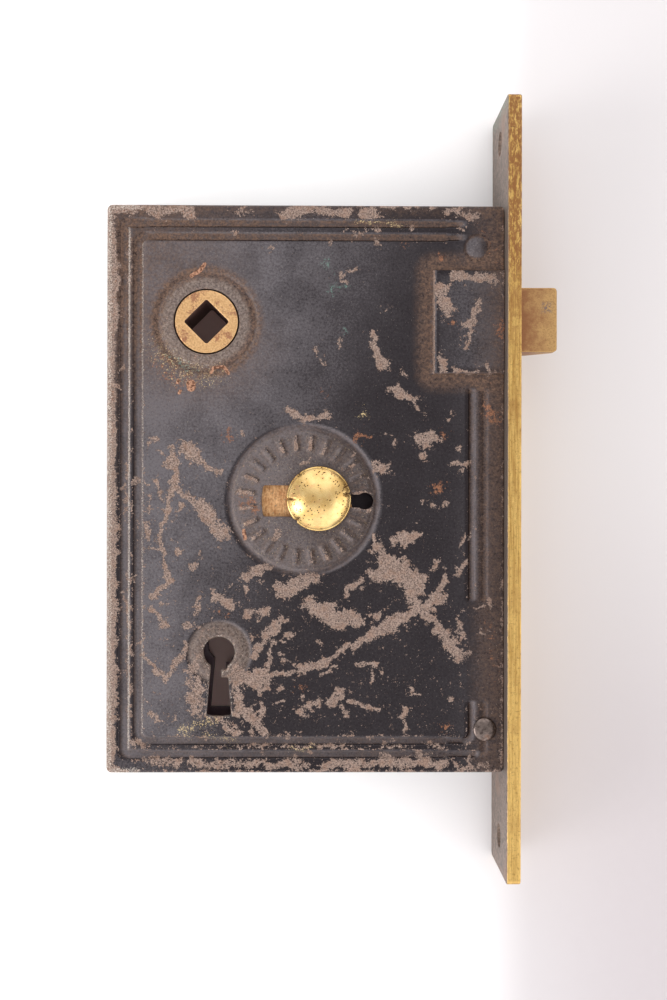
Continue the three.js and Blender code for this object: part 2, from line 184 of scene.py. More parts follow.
def keyhole_distance(x, y):
    """Distance out of the keyhole: a round eye, a flared slot and a ward in its neck."""
    u, v = x - key[0], y - key[1]
    eye = np.hypot(u, v) - KEYHOLE["eye"]
    half = KEYHOLE["half"] + KEYHOLE["flare"] * np.maximum(-v - 3, 0)
    foot = -KEYHOLE["length"] - v + 0.04 * u * u
    slot = np.maximum(np.abs(u) - half, np.maximum(foot, v))
    hole = np.minimum(eye, slot)
    ward = np.maximum(np.maximum(0.6 - u, u - 3), np.maximum(v + 3.9, -5.5 - v))
    return np.maximum(hole, -ward)


def slide_distance(x, y):
    """Distance out of the thumb slide's opening: a wide window, a neck and a round end."""
    v = y - stud[1]
    left_bow = SLOT["left"] + 0.035 * v * v
    window = np.maximum(np.abs(v) - SLOT["half"], np.maximum(left_bow - x, x - SLOT["neck"]))
    neck = np.maximum(np.abs(v) - SLOT["neck_half"], np.maximum(SLOT["neck"] - 1 - x, x - SLOT["end"]))
    end = np.hypot(x - SLOT["end"], v) - SLOT["end_radius"]
    return np.minimum(np.minimum(window, neck), end)


def cover_holes(x, y):
    hub_hole = distance_from(spindle, x, y) - HUB_HOLE
    return np.minimum(np.minimum(keyhole_distance(x, y), slide_distance(x, y)), hub_hole)


# ---------------------------------------------------------------- meshes

def closed_mesh(name, points, faces):
    """A mesh of points in millimetres, with its faces turned outwards."""
    mesh = bpy.data.meshes.new(name)
    mesh.from_pydata((np.array(points) * MM).tolist(), [], faces)
    bm = bmesh.new()
    bm.from_mesh(mesh)
    bmesh.ops.recalc_face_normals(bm, faces=bm.faces)
    bm.to_mesh(mesh)
    bm.free()
    return mesh


def coordinates(mesh):
    flat = np.zeros(len(mesh.vertices) * 3)
    mesh.vertices.foreach_get("co", flat)
    return flat.reshape(-1, 3)


def add_field(mesh, name, values):
    """A number at each of the mesh's points, which a material can read by name."""
    layer = mesh.attributes.new(name, "FLOAT", "POINT")
    layer.data.foreach_set("value", values.astype(np.float32))


def add_object(name, data):
    obj = bpy.data.objects.new(name, data)
    bpy.context.scene.collection.objects.link(obj)
    return obj


def link(name, mesh, smooth_angle=35):
    """An object of the mesh, smooth except at edges sharper than the angle."""
    mesh.shade_smooth()
    mesh.set_sharp_from_angle(angle=math.radians(smooth_angle))
    return add_object(name, mesh)


def place(obj, node, body, slot, material):
    """obj stands for a CAD node, moves with its body and wears the material."""
    obj.data.materials.clear()
    obj.data.materials.append(material)
    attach(obj, body)
    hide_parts(node)


def grid_lines(low, high, pitch, marks=()):
    """Lines from low to high at the pitch, and finer ones near each mark of (place, reach, fine pitch)."""
    lines = list(np.linspace(low, high, int(round((high - low) / pitch)) + 1))
    for at, reach, fine in marks:
        lines = [v for v in lines if abs(v - at) > reach or v in (low, high)]
        lines += list(np.arange(at - reach, at + reach + fine / 2, fine))
    lines = sorted(v for v in lines if low <= v <= high)
    closest = 0.06
    kept = [lines[0]]
    for v in lines[1:]:
        if v - kept[-1] > closest:
            kept.append(v)
    kept[-1] = high
    return np.array(kept)


def rounded_corners(x, y, left, right, low, high, radius):
    """Moves the grid points of each square corner into a round one."""
    for sx, edge_x in ((-1, left), (1, right)):
        for sy, edge_y in ((-1, low), (1, high)):
            a = np.maximum(sx * (x - (edge_x - sx * radius)), 0)
            b = np.maximum(sy * (y - (edge_y - sy * radius)), 0)
            corner = (a > 0) & (b > 0)
            shrink = np.where(corner, np.maximum(a, b) / np.maximum(np.hypot(a, b), 1e-9), 1)
            x = np.where(corner, edge_x - sx * radius + sx * a * shrink, x)
            y = np.where(corner, edge_y - sy * radius + sy * b * shrink, y)
    return x, y


def snap_to_holes(x, y, distance, reach):
    """Slides grid points that lie near a hole's edge onto it."""
    for _ in range(3):
        step = 0.01
        d = distance(x, y)
        gx = (distance(x + step, y) - distance(x - step, y)) / (2 * step)
        gy = (distance(x, y + step) - distance(x, y - step)) / (2 * step)
        size = np.maximum(gx * gx + gy * gy, 1e-6)
        near = np.abs(d) < reach
        x = np.where(near, x - gx * d / size, x)
        y = np.where(near, y - gy * d / size, y)
    return x, y


def kept_faces(inside):
    """Faces of a grid whose points are inside: quads, and triangles where one corner is cut off."""
    rows, columns = inside.shape
    index = np.arange(rows * columns).reshape(rows, columns)
    corners = np.stack([index[:-1, :-1], index[1:, :-1], index[1:, 1:], index[:-1, 1:]], -1).reshape(-1, 4)
    there = inside.reshape(-1)[corners]
    quads = corners[there.all(1)]
    cut = corners[there.sum(1) == 3]
    missing = np.argmin(inside.reshape(-1)[cut], axis=1)
    order = (missing[:, None] + np.arange(1, 4)) % 4
    return quads, np.take_along_axis(cut, order, 1)


def sheet_object(name, x, y, inside, upper, lower, axes=(0, 1, 2), fields=None):
    """A closed sheet between the heights upper and lower over the kept part of a grid.

    axes says which row axes the grid's first and second directions and its height run along.
    """
    quads, triangles = kept_faces(inside)
    used = np.unique(np.concatenate([quads.ravel(), triangles.ravel()]))
    count = len(used)
    new = np.full(x.size, -1)
    new[used] = np.arange(count)
    points = np.zeros((2 * count, 3))
    for half, height in enumerate((upper, lower)):
        rows = slice(half * count, (half + 1) * count)
        for axis, values in zip(axes, (x, y, height)):
            points[rows, axis] = values.ravel()[used]
    top = [tuple(f) for f in new[quads]] + [tuple(f) for f in new[triangles]]
    bottom = [tuple(count + v for v in reversed(f)) for f in top]
    edges = dict.fromkeys(edge for face in top for edge in zip(face, face[1:] + face[:1]))
    sides = [(b, a, a + count, b + count) for a, b in edges if (b, a) not in edges]
    mesh = closed_mesh(name, points, top + sides + bottom)
    for label, values in (fields or {}).items():
        add_field(mesh, label, np.tile(values.ravel()[used], 2))
    return link(name, mesh)


def lathe(name, profile, centre, steps=96):
    """A closed profile of (radius, height) points turned about an upright axis through the centre."""
    points, rings, faces = [], [], []
    for radius, height in profile:
        count = 1 if radius < 1e-6 else steps
        rings.append(range(len(points), len(points) + count))
        for a in np.arange(count) * 2 * math.pi / steps:
            points.append((radius * math.cos(a), radius * math.sin(a), height))
    for low, high in zip(rings, rings[1:]):
        for i in range(steps):
            j = (i + 1) % steps
            ring = [low[i % len(low)], low[j % len(low)], high[j % len(high)], high[i % len(high)]]
            corners = list(dict.fromkeys(ring))
            if len(corners) > 2:
                faces.append(corners)
    return closed_mesh(name, np.array(points) + np.array(centre), faces)


def worked_copy(node, bevel, cell, seed, wobble=0.03):
    """A copy of a CAD node with eased edges, a fine mesh and the slight unevenness of worn metal."""
    bm = bmesh.new()
    bm.from_mesh(frame["nodes"][node].data)
    bmesh.ops.remove_doubles(bm, verts=bm.verts, dist=1e-6)
    bmesh.ops.dissolve_limit(bm, angle_limit=math.radians(1), verts=bm.verts, edges=bm.edges)
    sharp = [e for e in bm.edges if len(e.link_faces) == 2 and e.calc_face_angle(0) > math.radians(32)]
    bmesh.ops.bevel(bm, geom=sharp, offset=bevel * MM, segments=2, profile=0.5, affect="EDGES",
                    clamp_overlap=True)
    bmesh.ops.triangulate(bm, faces=[f for f in bm.faces if len(f.verts) > 4])
    low, high = box_mm(node)
    for axis, along in enumerate(np.eye(3)):
        for at in np.arange(low[axis] + cell, high[axis] - cell / 2, cell):
            everything = bm.verts[:] + bm.edges[:] + bm.faces[:]
            bmesh.ops.bisect_plane(bm, geom=everything, plane_co=along * at * MM, plane_no=along, dist=1e-7)
    bm.normal_update()
    for v in bm.verts:
        shift = noise.noise(Vector(v.co) / (6 * MM) + Vector((seed, 0, 0)))
        v.co += v.normal * (shift - 1) * wobble * MM
    mesh = bpy.data.meshes.new(node + "_worked")
    bm.to_mesh(mesh)
    bm.free()
    return mesh


# ---------------------------------------------------------------- node graphs

class Value:
    """A node's output. Arithmetic on it adds nodes to its graph."""

    def __init__(self, graph, socket):
        self.graph = graph
        self.socket = socket

    def __add__(self, other):
        return self.graph.math("ADD", self, other)

    def __mul__(self, other):
        return self.graph.math("MULTIPLY", self, other)

    __radd__ = __add__
    __rmul__ = __mul__

    def __sub__(self, other):
        return self.graph.math("SUBTRACT", self, other)

    def __rsub__(self, other):
        return self.graph.math("SUBTRACT", other, self)

    def __abs__(self):
        return self.graph.math("ABSOLUTE", self)

    def either(self, other):
        """The larger of the two."""
        return self.graph.math("MAXIMUM", self, other)

    def clamped(self):
        """The same sum or product, kept from 0 to 1."""
        self.socket.node.use_clamp = True
        return self

    def band(self, low, high):
        """0 below low, 1 above high, smooth between them."""
        limits = {"Value": self, "From Min": low, "From Max": high}
        return self.graph.make("MapRange", limits, interpolation_type="SMOOTHSTEP")

    def scaled(self, low, high):
        """From 0 to 1 mapped onto low to high."""
        return self.graph.make("MapRange", {"Value": self, "To Min": low, "To Max": high})


class Graph:
    """The node tree of a material or world."""

    def __init__(self, owner):
        owner.use_nodes = True
        self.owner = owner
        self.tree = owner.node_tree
        self.tree.nodes.clear()

    def feed(self, socket, value):
        if isinstance(value, Value):
            self.tree.links.new(value.socket, socket)
        else:
            socket.default_value = value

    def make(self, kind, inputs, output=0, **settings):
        """Adds a node, feeds its inputs and returns one of its outputs."""
        node = self.tree.nodes.new("ShaderNode" + kind)
        for name, value in settings.items():
            setattr(node, name, value)
        for name, value in inputs.items():
            self.feed(node.inputs[name], value)
        return Value(self, node.outputs[output])

    def math(self, operation, a, b=0.0):
        return self.make("Math", {0: a, 1: b}, operation=operation)

    def dot(self, a, b):
        return self.make("VectorMath", {0: a, 1: b}, "Value", operation="DOT_PRODUCT")

    def show(self, kind, shader):
        """Connects the shader to the tree's output."""
        self.feed(self.tree.nodes.new("ShaderNodeOutput" + kind).inputs["Surface"], shader)
        return self.owner


class Surface(Graph):
    """A material, made from points in millimetres."""

    def __init__(self, name):
        super().__init__(bpy.data.materials.new(name))
        here = self.make("TexCoord", {}, "Object")
        self.point = self.make("Mapping", {"Vector": here, "Scale": (1 / MM,) * 3})

    def stretch(self, x=1.0, y=1.0, z=1.0, turn=0.0):
        """The point, turned about Z by degrees and then scaled along each axis."""
        turned = self.make("Mapping", {"Vector": self.point, "Rotation": (0, 0, math.radians(turn))})
        return self.make("Mapping", {"Vector": turned, "Scale": (x, y, z)})

    def noise(self, scale, detail=3.0, rough=0.55, point=None, warp=0.0):
        inputs = {"Vector": point or self.point, "Scale": scale, "Detail": detail, "Roughness": rough}
        return self.make("TexNoise", inputs | {"Distortion": warp}, "Fac")

    def cells(self, scale, point):
        return self.make("TexVoronoi", {"Vector": point, "Scale": scale}, "Distance")

    def field(self, name):
        return self.make("Attribute", {}, "Fac", attribute_name=name)

    def number(self, value):
        constant = self.make("Value", {})
        constant.socket.default_value = value
        return constant

    def mix(self, factor, a, b):
        """Colour a where factor is 0 and b where it is 1."""
        return self.make("Mix", {"Factor": factor, "A": a, "B": b}, "Result", data_type="RGBA")

    def parts(self):
        """The point's X, Y and Z in millimetres."""
        return [self.make("SeparateXYZ", {0: self.point}, axis) for axis in "XYZ"]

    def bore_distance(self):
        """Distance of the point from the nearer wood screw hole's wall."""
        y, z = self.parts()[1:]
        along = abs(y) - WOOD_SCREW
        return self.math("SQRT", along * along + z * z) - WOOD_HOLE

    def edge(self, radius):
        """About 1 on sharp edges and 0 on flat ground, from the Bevel node's rounded normal."""
        rounded = self.make("Bevel", {"Radius": radius * MM}, samples=6)
        flat = self.make("NewGeometry", {}, "Normal")
        return self.dot(rounded, flat).band(0.995, 0.88)

    def bump(self, height, depth, below=None):
        """A bump of the given depth in millimetres, over another bump if one is given."""
        inputs = {"Height": height, "Distance": depth * MM}
        if below:
            inputs["Normal"] = below
        return self.make("Bump", inputs)

    def finish(self, colour, roughness, metallic, relief, **others):
        inputs = {"Base Color": colour, "Roughness": roughness, "Metallic": metallic, "Normal": relief}
        inputs |= {name.replace("_", " "): value for name, value in others.items()}
        return self.show("Material", self.make("BsdfPrincipled", inputs))


def tint(red, green, blue):
    """An sRGB colour of 0 to 255 as the linear colour that a socket takes."""
    def linear(v):
        v = v / 255
        return v / 12.92 if v <= 0.04045 else ((v + 0.055) / 1.055) ** 2.4
    return (linear(red), linear(green), linear(blue), 1.0)


# ---------------------------------------------------------------- materials

# Small marks on the paint: (field, fineness, strength, two colours).
FLECKS = (
    ("rust", 1.7, 0.8, tint(104, 66, 46), tint(168, 116, 84)),
    ("gold", 3.0, 0.8, tint(138, 112, 78), tint(214, 190, 142)),
    ("green", 2.2, 0.7, tint(78, 104, 96), tint(120, 150, 138)),
    # pale: flecks of pale metal and dust; on the cover also painted glints
    ("pale", 3.4, 0.9, tint(160, 148, 136), tint(224, 214, 204)),
)
FIELDS = ("worn", "film", "haze", "bare", "rust", "gold", "green", "pale", "copper")


def japan(name, fields, inside_level=None):
    """Black japan over rusty sheet steel.

    fields(graph) gives values from 0 to 1: worn, how near the paint is to flaking; film, brown dust; haze,
    grey misting of the paint together with painted sheen, painted highlights and painted shade; bare, thin
    paint rubbed to grey metal together with painted glints; rust, gold, green, pale and copper, flecks of each,
    the pale ones partly painted glints.
    """
    g = Surface(name)
    f = fields(g)
    coarse = g.noise(0.5, 6, 0.62, warp=0.4) * 0.36
    medium = g.noise(1.5, 5, 0.65, warp=0.3) * 0.34
    level = coarse + medium + (g.noise(3.6, 3, 0.6) * 0.3 + f["worn"])
    chipped = level.band(0.694, 0.704)
    fringe = level.band(0.655, 0.695)
    cloud = g.noise(0.13, 5, 0.6).band(0.32, 0.66)
    mottle = g.noise(1.9, 6, 0.8)
    blotch = mottle.band(0.3, 0.7).scaled(0.45, 1.45)
    # haze lightens the black paint: grey misting, and on the cover painted sheen, painted highlights and, where it
    # drops, painted shade
    bloom_and_sheen = f["haze"] * (cloud.scaled(0.72, 1.2) * blotch)
    bloom_and_sheen = (bloom_and_sheen + mottle.scaled(-0.07, 0.1)).clamped()
    paint = g.mix(bloom_and_sheen, tint(9, 5, 8), tint(98, 94, 97))
    dust = g.noise(3.4, 2, 0.6).band(0.66, 0.7)
    paint = g.mix(dust * f["haze"].scaled(0.15, 0.55), paint, tint(158, 146, 136))
    brown = (f["film"] * g.noise(1.0, 6, 0.74).band(0.3, 0.68).scaled(0.25, 1.35)).clamped()
    earth = g.mix(g.noise(2.2, 4, 0.7).band(0.38, 0.62), tint(74, 57, 47), tint(118, 92, 74))
    paint = g.mix(brown, paint, earth)
    gravel = g.noise(1.9, 5, 0.74).band(0.34, 0.66)
    # bare: paint rubbed to grey metal, and on the cover painted glints on slopes that face the lamp
    rubbed_and_glint = (f["bare"] * gravel.scaled(0.6, 1.1)).clamped()
    paint = g.mix(rubbed_and_glint, paint, g.mix(gravel, tint(88, 76, 70), tint(146, 131, 120)))
    paint = g.mix(fringe * 0.45, paint, tint(44, 35, 33))
    grain = g.noise(3.0, 5, 0.78)
    metal = g.mix(grain.band(0.37, 0.62), tint(80, 65, 57), tint(172, 150, 137))
    metal = g.mix(g.noise(0.5, 5, 0.7).band(0.5, 0.62) * 0.4, metal, tint(140, 108, 88))
    colour = g.mix(chipped, paint, metal)
    # flecks of each kind; on the cover the pale ones are partly painted glints
    for fleck, reach, strength, first, second in FLECKS:
        there = (g.noise(reach, 5, 0.7) + f[fleck] * 0.26).band(0.715, 0.75)
        colour = g.mix(there * strength, colour, g.mix(grain.band(0.4, 0.6), first, second))
    copper = f["copper"].band(0.35, 0.55)
    drip = g.mix(g.noise(1.6, 3, 0.6).band(0.4, 0.6), tint(98, 64, 48), tint(190, 144, 116))
    colour = g.mix(copper, colour, drip)
    rough = bloom_and_sheen.scaled(0.19, 0.42) + brown.either(rubbed_and_glint) * 0.18
    rough = rough.either(chipped * 0.6)
    texture = (grain * (chipped + rubbed_and_glint) + mottle * 0.3) * (1.0 - copper)
    relief = g.bump(texture, 0.12, g.bump(1.0 - chipped, 0.08))
    if inside_level is not None:
        inside = abs(g.parts()[2] - inside_level).band(0.3, 0.1)
        colour = g.mix(inside * 0.85, colour, g.mix(mottle, tint(96, 74, 82), tint(120, 98, 104)))
        rough = rough * inside.scaled(1.0, 0.6)
    shine = {"Specular_IOR_Level": 0.38, "Specular_Tint": (1, 0.88, 0.95, 1)}
    return g.finish(colour, rough, chipped * 0.15 + copper * 0.5, relief, **shine)


def cover_fields(g):
    return {name: g.field(name) for name in FIELDS}


def edge_fields(g):
    """Wear for the plain japanned pieces: worn to grey metal along their edges, with rust and dust in patches."""
    patches = g.noise(0.05, 4, 0.6).band(0.42, 0.7)
    fields = {name: g.number(0.0) for name in FIELDS}
    fields["worn"] = g.edge(1.3) * 0.22 + patches.scaled(0.03, 0.11)
    fields["film"] = patches * 0.45
    fields["haze"] = g.noise(0.03, 3, 0.5).scaled(0.1, 0.7)
    fields["rust"] = patches * 0.25
    return fields


def faceplate_brass():
    """Brass strip: scratched, with a painted highlight along its left edge and red-brown on its right edge,
    browner towards the top, and a dull grey-brown back with painted shade beside the case.
    """
    g = Surface("faceplate_brass")
    x, y = g.parts()[:2]
    grain = g.noise(2.3, 5, 0.75)
    scratch = g.noise(1.0, 5, 0.65, point=g.stretch(3.2, 0.1, 3.2))
    ticks = g.noise(1.0, 4, 0.7, point=g.stretch(0.7, 4.5, 0.7)).band(0.6, 0.67)
    colour = g.mix(scratch.band(0.38, 0.68), tint(232, 194, 118), tint(188, 146, 80))
    colour = g.mix(g.noise(0.09, 5, 0.65).band(0.45, 0.7) * 0.55, colour, tint(168, 122, 70))
    colour = g.mix(y.band(-10, -60) * 0.25, colour, tint(246, 210, 128))
    upper = (y + g.noise(0.12, 4) * 30).band(38, 82).scaled(0.15, 1.4)
    smears = g.noise(1.0, 6, 0.78, point=g.stretch(1.5, 0.5, 1.5))
    browned = (upper * smears.band(0.4, 0.56)).clamped()
    colour = g.mix(browned * 0.9, colour, tint(136, 88, 52))
    specks = g.noise(1.0, 6, 0.8, point=g.stretch(2.2, 0.9, 2.2))
    colour = g.mix(specks.band(0.53, 0.62) * 0.55, colour, tint(142, 104, 50))
    colour = g.mix(ticks * 0.7, colour, tint(104, 74, 44))
    rim = g.edge(0.5)
    low_end = y.band(-46, -54)
    red_side = x.band(-1.2, -0.3) + x.band(-1.6, -2.3) * low_end
    reddish = rim * red_side * g.noise(0.35, 3).band(0.42, 0.58)
    # painted highlight along the strip's left edge, fainter towards its lower end
    bright = rim * x.band(-1.9, -2.5) * g.noise(0.6, 4).band(0.26, 0.46) * low_end.scaled(1.0, 0.4)
    colour = g.mix(reddish * 0.8, colour, tint(150, 78, 56))
    colour = g.mix(bright, colour, tint(255, 244, 204))
    back = (x + g.noise(1.2, 3) * 0.25).band(-2.78, -2.98)
    hole = g.bore_distance().band(0.35, 0.1) * x.band(-0.4, -1.2)
    dull = back.either(hole)
    drab = g.mix(g.noise(1.1, 6, 0.72).band(0.36, 0.66), tint(88, 77, 71), tint(147, 128, 115))
    drab = g.mix(g.noise(0.12, 4).band(0.5, 0.68) * 0.5, drab, tint(146, 112, 92))
    tip = y.band(83, 86.5) * g.noise(0.9, 4).band(0.4, 0.6)
    drab = g.mix(tip * 0.7, drab, tint(116, 136, 124))
    # painted shade: a flat dark brown on the back where it lies beside the case's edge
    drab = g.mix(abs(y).band(TOP + 1.2, TOP + 0.2), drab, tint(112, 99, 90))
    colour = g.mix(dull, colour, drab)
    rough = grain.scaled(0.24, 0.42) + browned.either(dull) * 0.18
    relief = g.bump(grain - ticks * 0.6, 0.05, g.bump(scratch, 0.05))
    return g.finish(colour, rough, dull.either(browned * 0.4).scaled(1.0, 0.25), relief)


def hub_brass():
    """Orange brass stained brown in patches, bright on its edges, with painted shade down the square hole."""
    g = Surface("hub_brass")
    fine = g.noise(2.6, 5, 0.72)
    stain = (g.noise(0.3, 5, 0.7) + fine * 0.25).band(0.62, 0.76)
    colour = g.mix(fine.band(0.35, 0.7), tint(236, 195, 142), tint(204, 155, 104))
    colour = g.mix(stain * 0.85, colour, tint(146, 94, 70))
    colour = g.mix(g.edge(0.3) * 0.8, colour, tint(255, 226, 176))
    # painted shade: dark, dull brass on the surfaces deep in the lock, down the square hole
    inside = abs(g.parts()[2]).band(8.0, 7.6)
    colour = g.mix(inside, colour, g.mix(g.noise(0.8, 4), tint(62, 44, 44), tint(124, 92, 86)))
    rough = fine.scaled(0.3, 0.46) + stain.either(inside) * 0.15
    return g.finish(colour, rough, inside.either(stain * 0.5).scaled(0.9, 0.2), g.bump(fine, 0.05))


def bolt_brass(name, inner, outer):
    """Satin brass: darker and reddish towards the plate, on the latch partly a painted shadow of the faceplate's
    edge, tan at the tip, with a dark smear on the latch.
    """
    g = Surface(name)
    x, y = g.parts()[:2]
    grain = g.noise(2.2, 6, 0.75)
    # darker and reddish towards the plate; on the latch this is partly painted shadow cast by the faceplate's edge
    level = x + (g.noise(0.3, 5, 0.72).scaled(-9, 9) + grain.scaled(-3, 3))
    colour = g.mix(level.band(inner, outer), tint(150, 104, 72), tint(194, 156, 104))
    colour = g.mix(grain.band(0.48, 0.6) * 0.5, colour, tint(138, 98, 66))
    smear = abs(x - 6.8).either(abs(y - 41.2)).band(1.7, 0.4) * g.noise(1.6, 4, 0.7).band(0.44, 0.56)
    colour = g.mix(smear * 0.75, colour, tint(98, 92, 104))
    brush = g.noise(1.0, 4, 0.6, point=g.stretch(0.5, 3.2, 1.0))
    colour = g.mix(brush.band(0.62, 0.72) * 0.4, colour, tint(120, 80, 54))
    colour = g.mix(g.edge(0.35) * 0.7, colour, tint(226, 184, 110))
    return g.finish(colour, grain.scaled(0.36, 0.54), 0.75, g.bump(grain + brush, 0.05))


def polished_brass():
    """The button: buffed brass with dark pits, dark nicks at its rim and fine scratches."""
    g = Surface("polished_brass")
    rows = g.stretch(1.0, 1.7, 1.0, turn=-38)
    pits = g.cells(1.15, rows).band(0.3, 0.17) * g.noise(0.22, 3, 0.6).band(0.46, 0.54)
    dark = pits.either(g.field("nick"))
    smear = g.noise(0.22, 5, 0.65)
    scratch = g.noise(0.9, 3, 0.6, point=g.stretch(0.5, 5, 0.5, turn=40))
    colour = g.mix(smear.band(0.35, 0.7), tint(242, 210, 146), tint(216, 176, 108))
    colour = g.mix(g.noise(0.35, 4, 0.6).band(0.52, 0.66) * 0.35, colour, tint(222, 160, 116))
    colour = g.mix(dark * 0.9, colour, tint(88, 58, 34))
    rough = smear.scaled(0.14, 0.3) + dark * 0.4
    return g.finish(colour, rough, 1.0, g.bump(scratch * 0.3 - pits, 0.05))


def cast_bronze():
    """The bolt's tail: rough, streaked and orange-brown, with grey specks."""
    g = Surface("cast_bronze")
    grain = g.noise(1.9, 6, 0.75)
    streak = g.noise(1.0, 5, 0.65, point=g.stretch(2.4, 0.5, 1.0))
    blend = grain * 0.5 + streak * 0.5
    colour = g.mix(blend.band(0.4, 0.62), tint(196, 136, 84), tint(250, 206, 152))
    colour = g.mix(g.noise(1.5, 5, 0.7).band(0.58, 0.66) * 0.7, colour, tint(138, 122, 108))
    return g.finish(colour, grain.scaled(0.5, 0.72), 0.45, g.bump(grain + streak, 0.14))


def plain_steel(name, light, dark, rust, rough=0.45):
    """Oiled iron or spring steel with a little rust."""
    g = Surface(name)
    fine = g.noise(1.3, 6, 0.7)
    rusty = g.noise(0.35, 5, 0.7).band(0.52, 0.7) * rust
    colour = g.mix(rusty, g.mix(fine.band(0.3, 0.75), light, dark), tint(134, 86, 54))
    roughness = fine.scaled(rough - 0.1, rough + 0.1) + rusty * 0.3
    return g.finish(colour, roughness, rusty.scaled(1.0, 0.3), g.bump(fine, 0.04))


# ---------------------------------------------------------------- cover

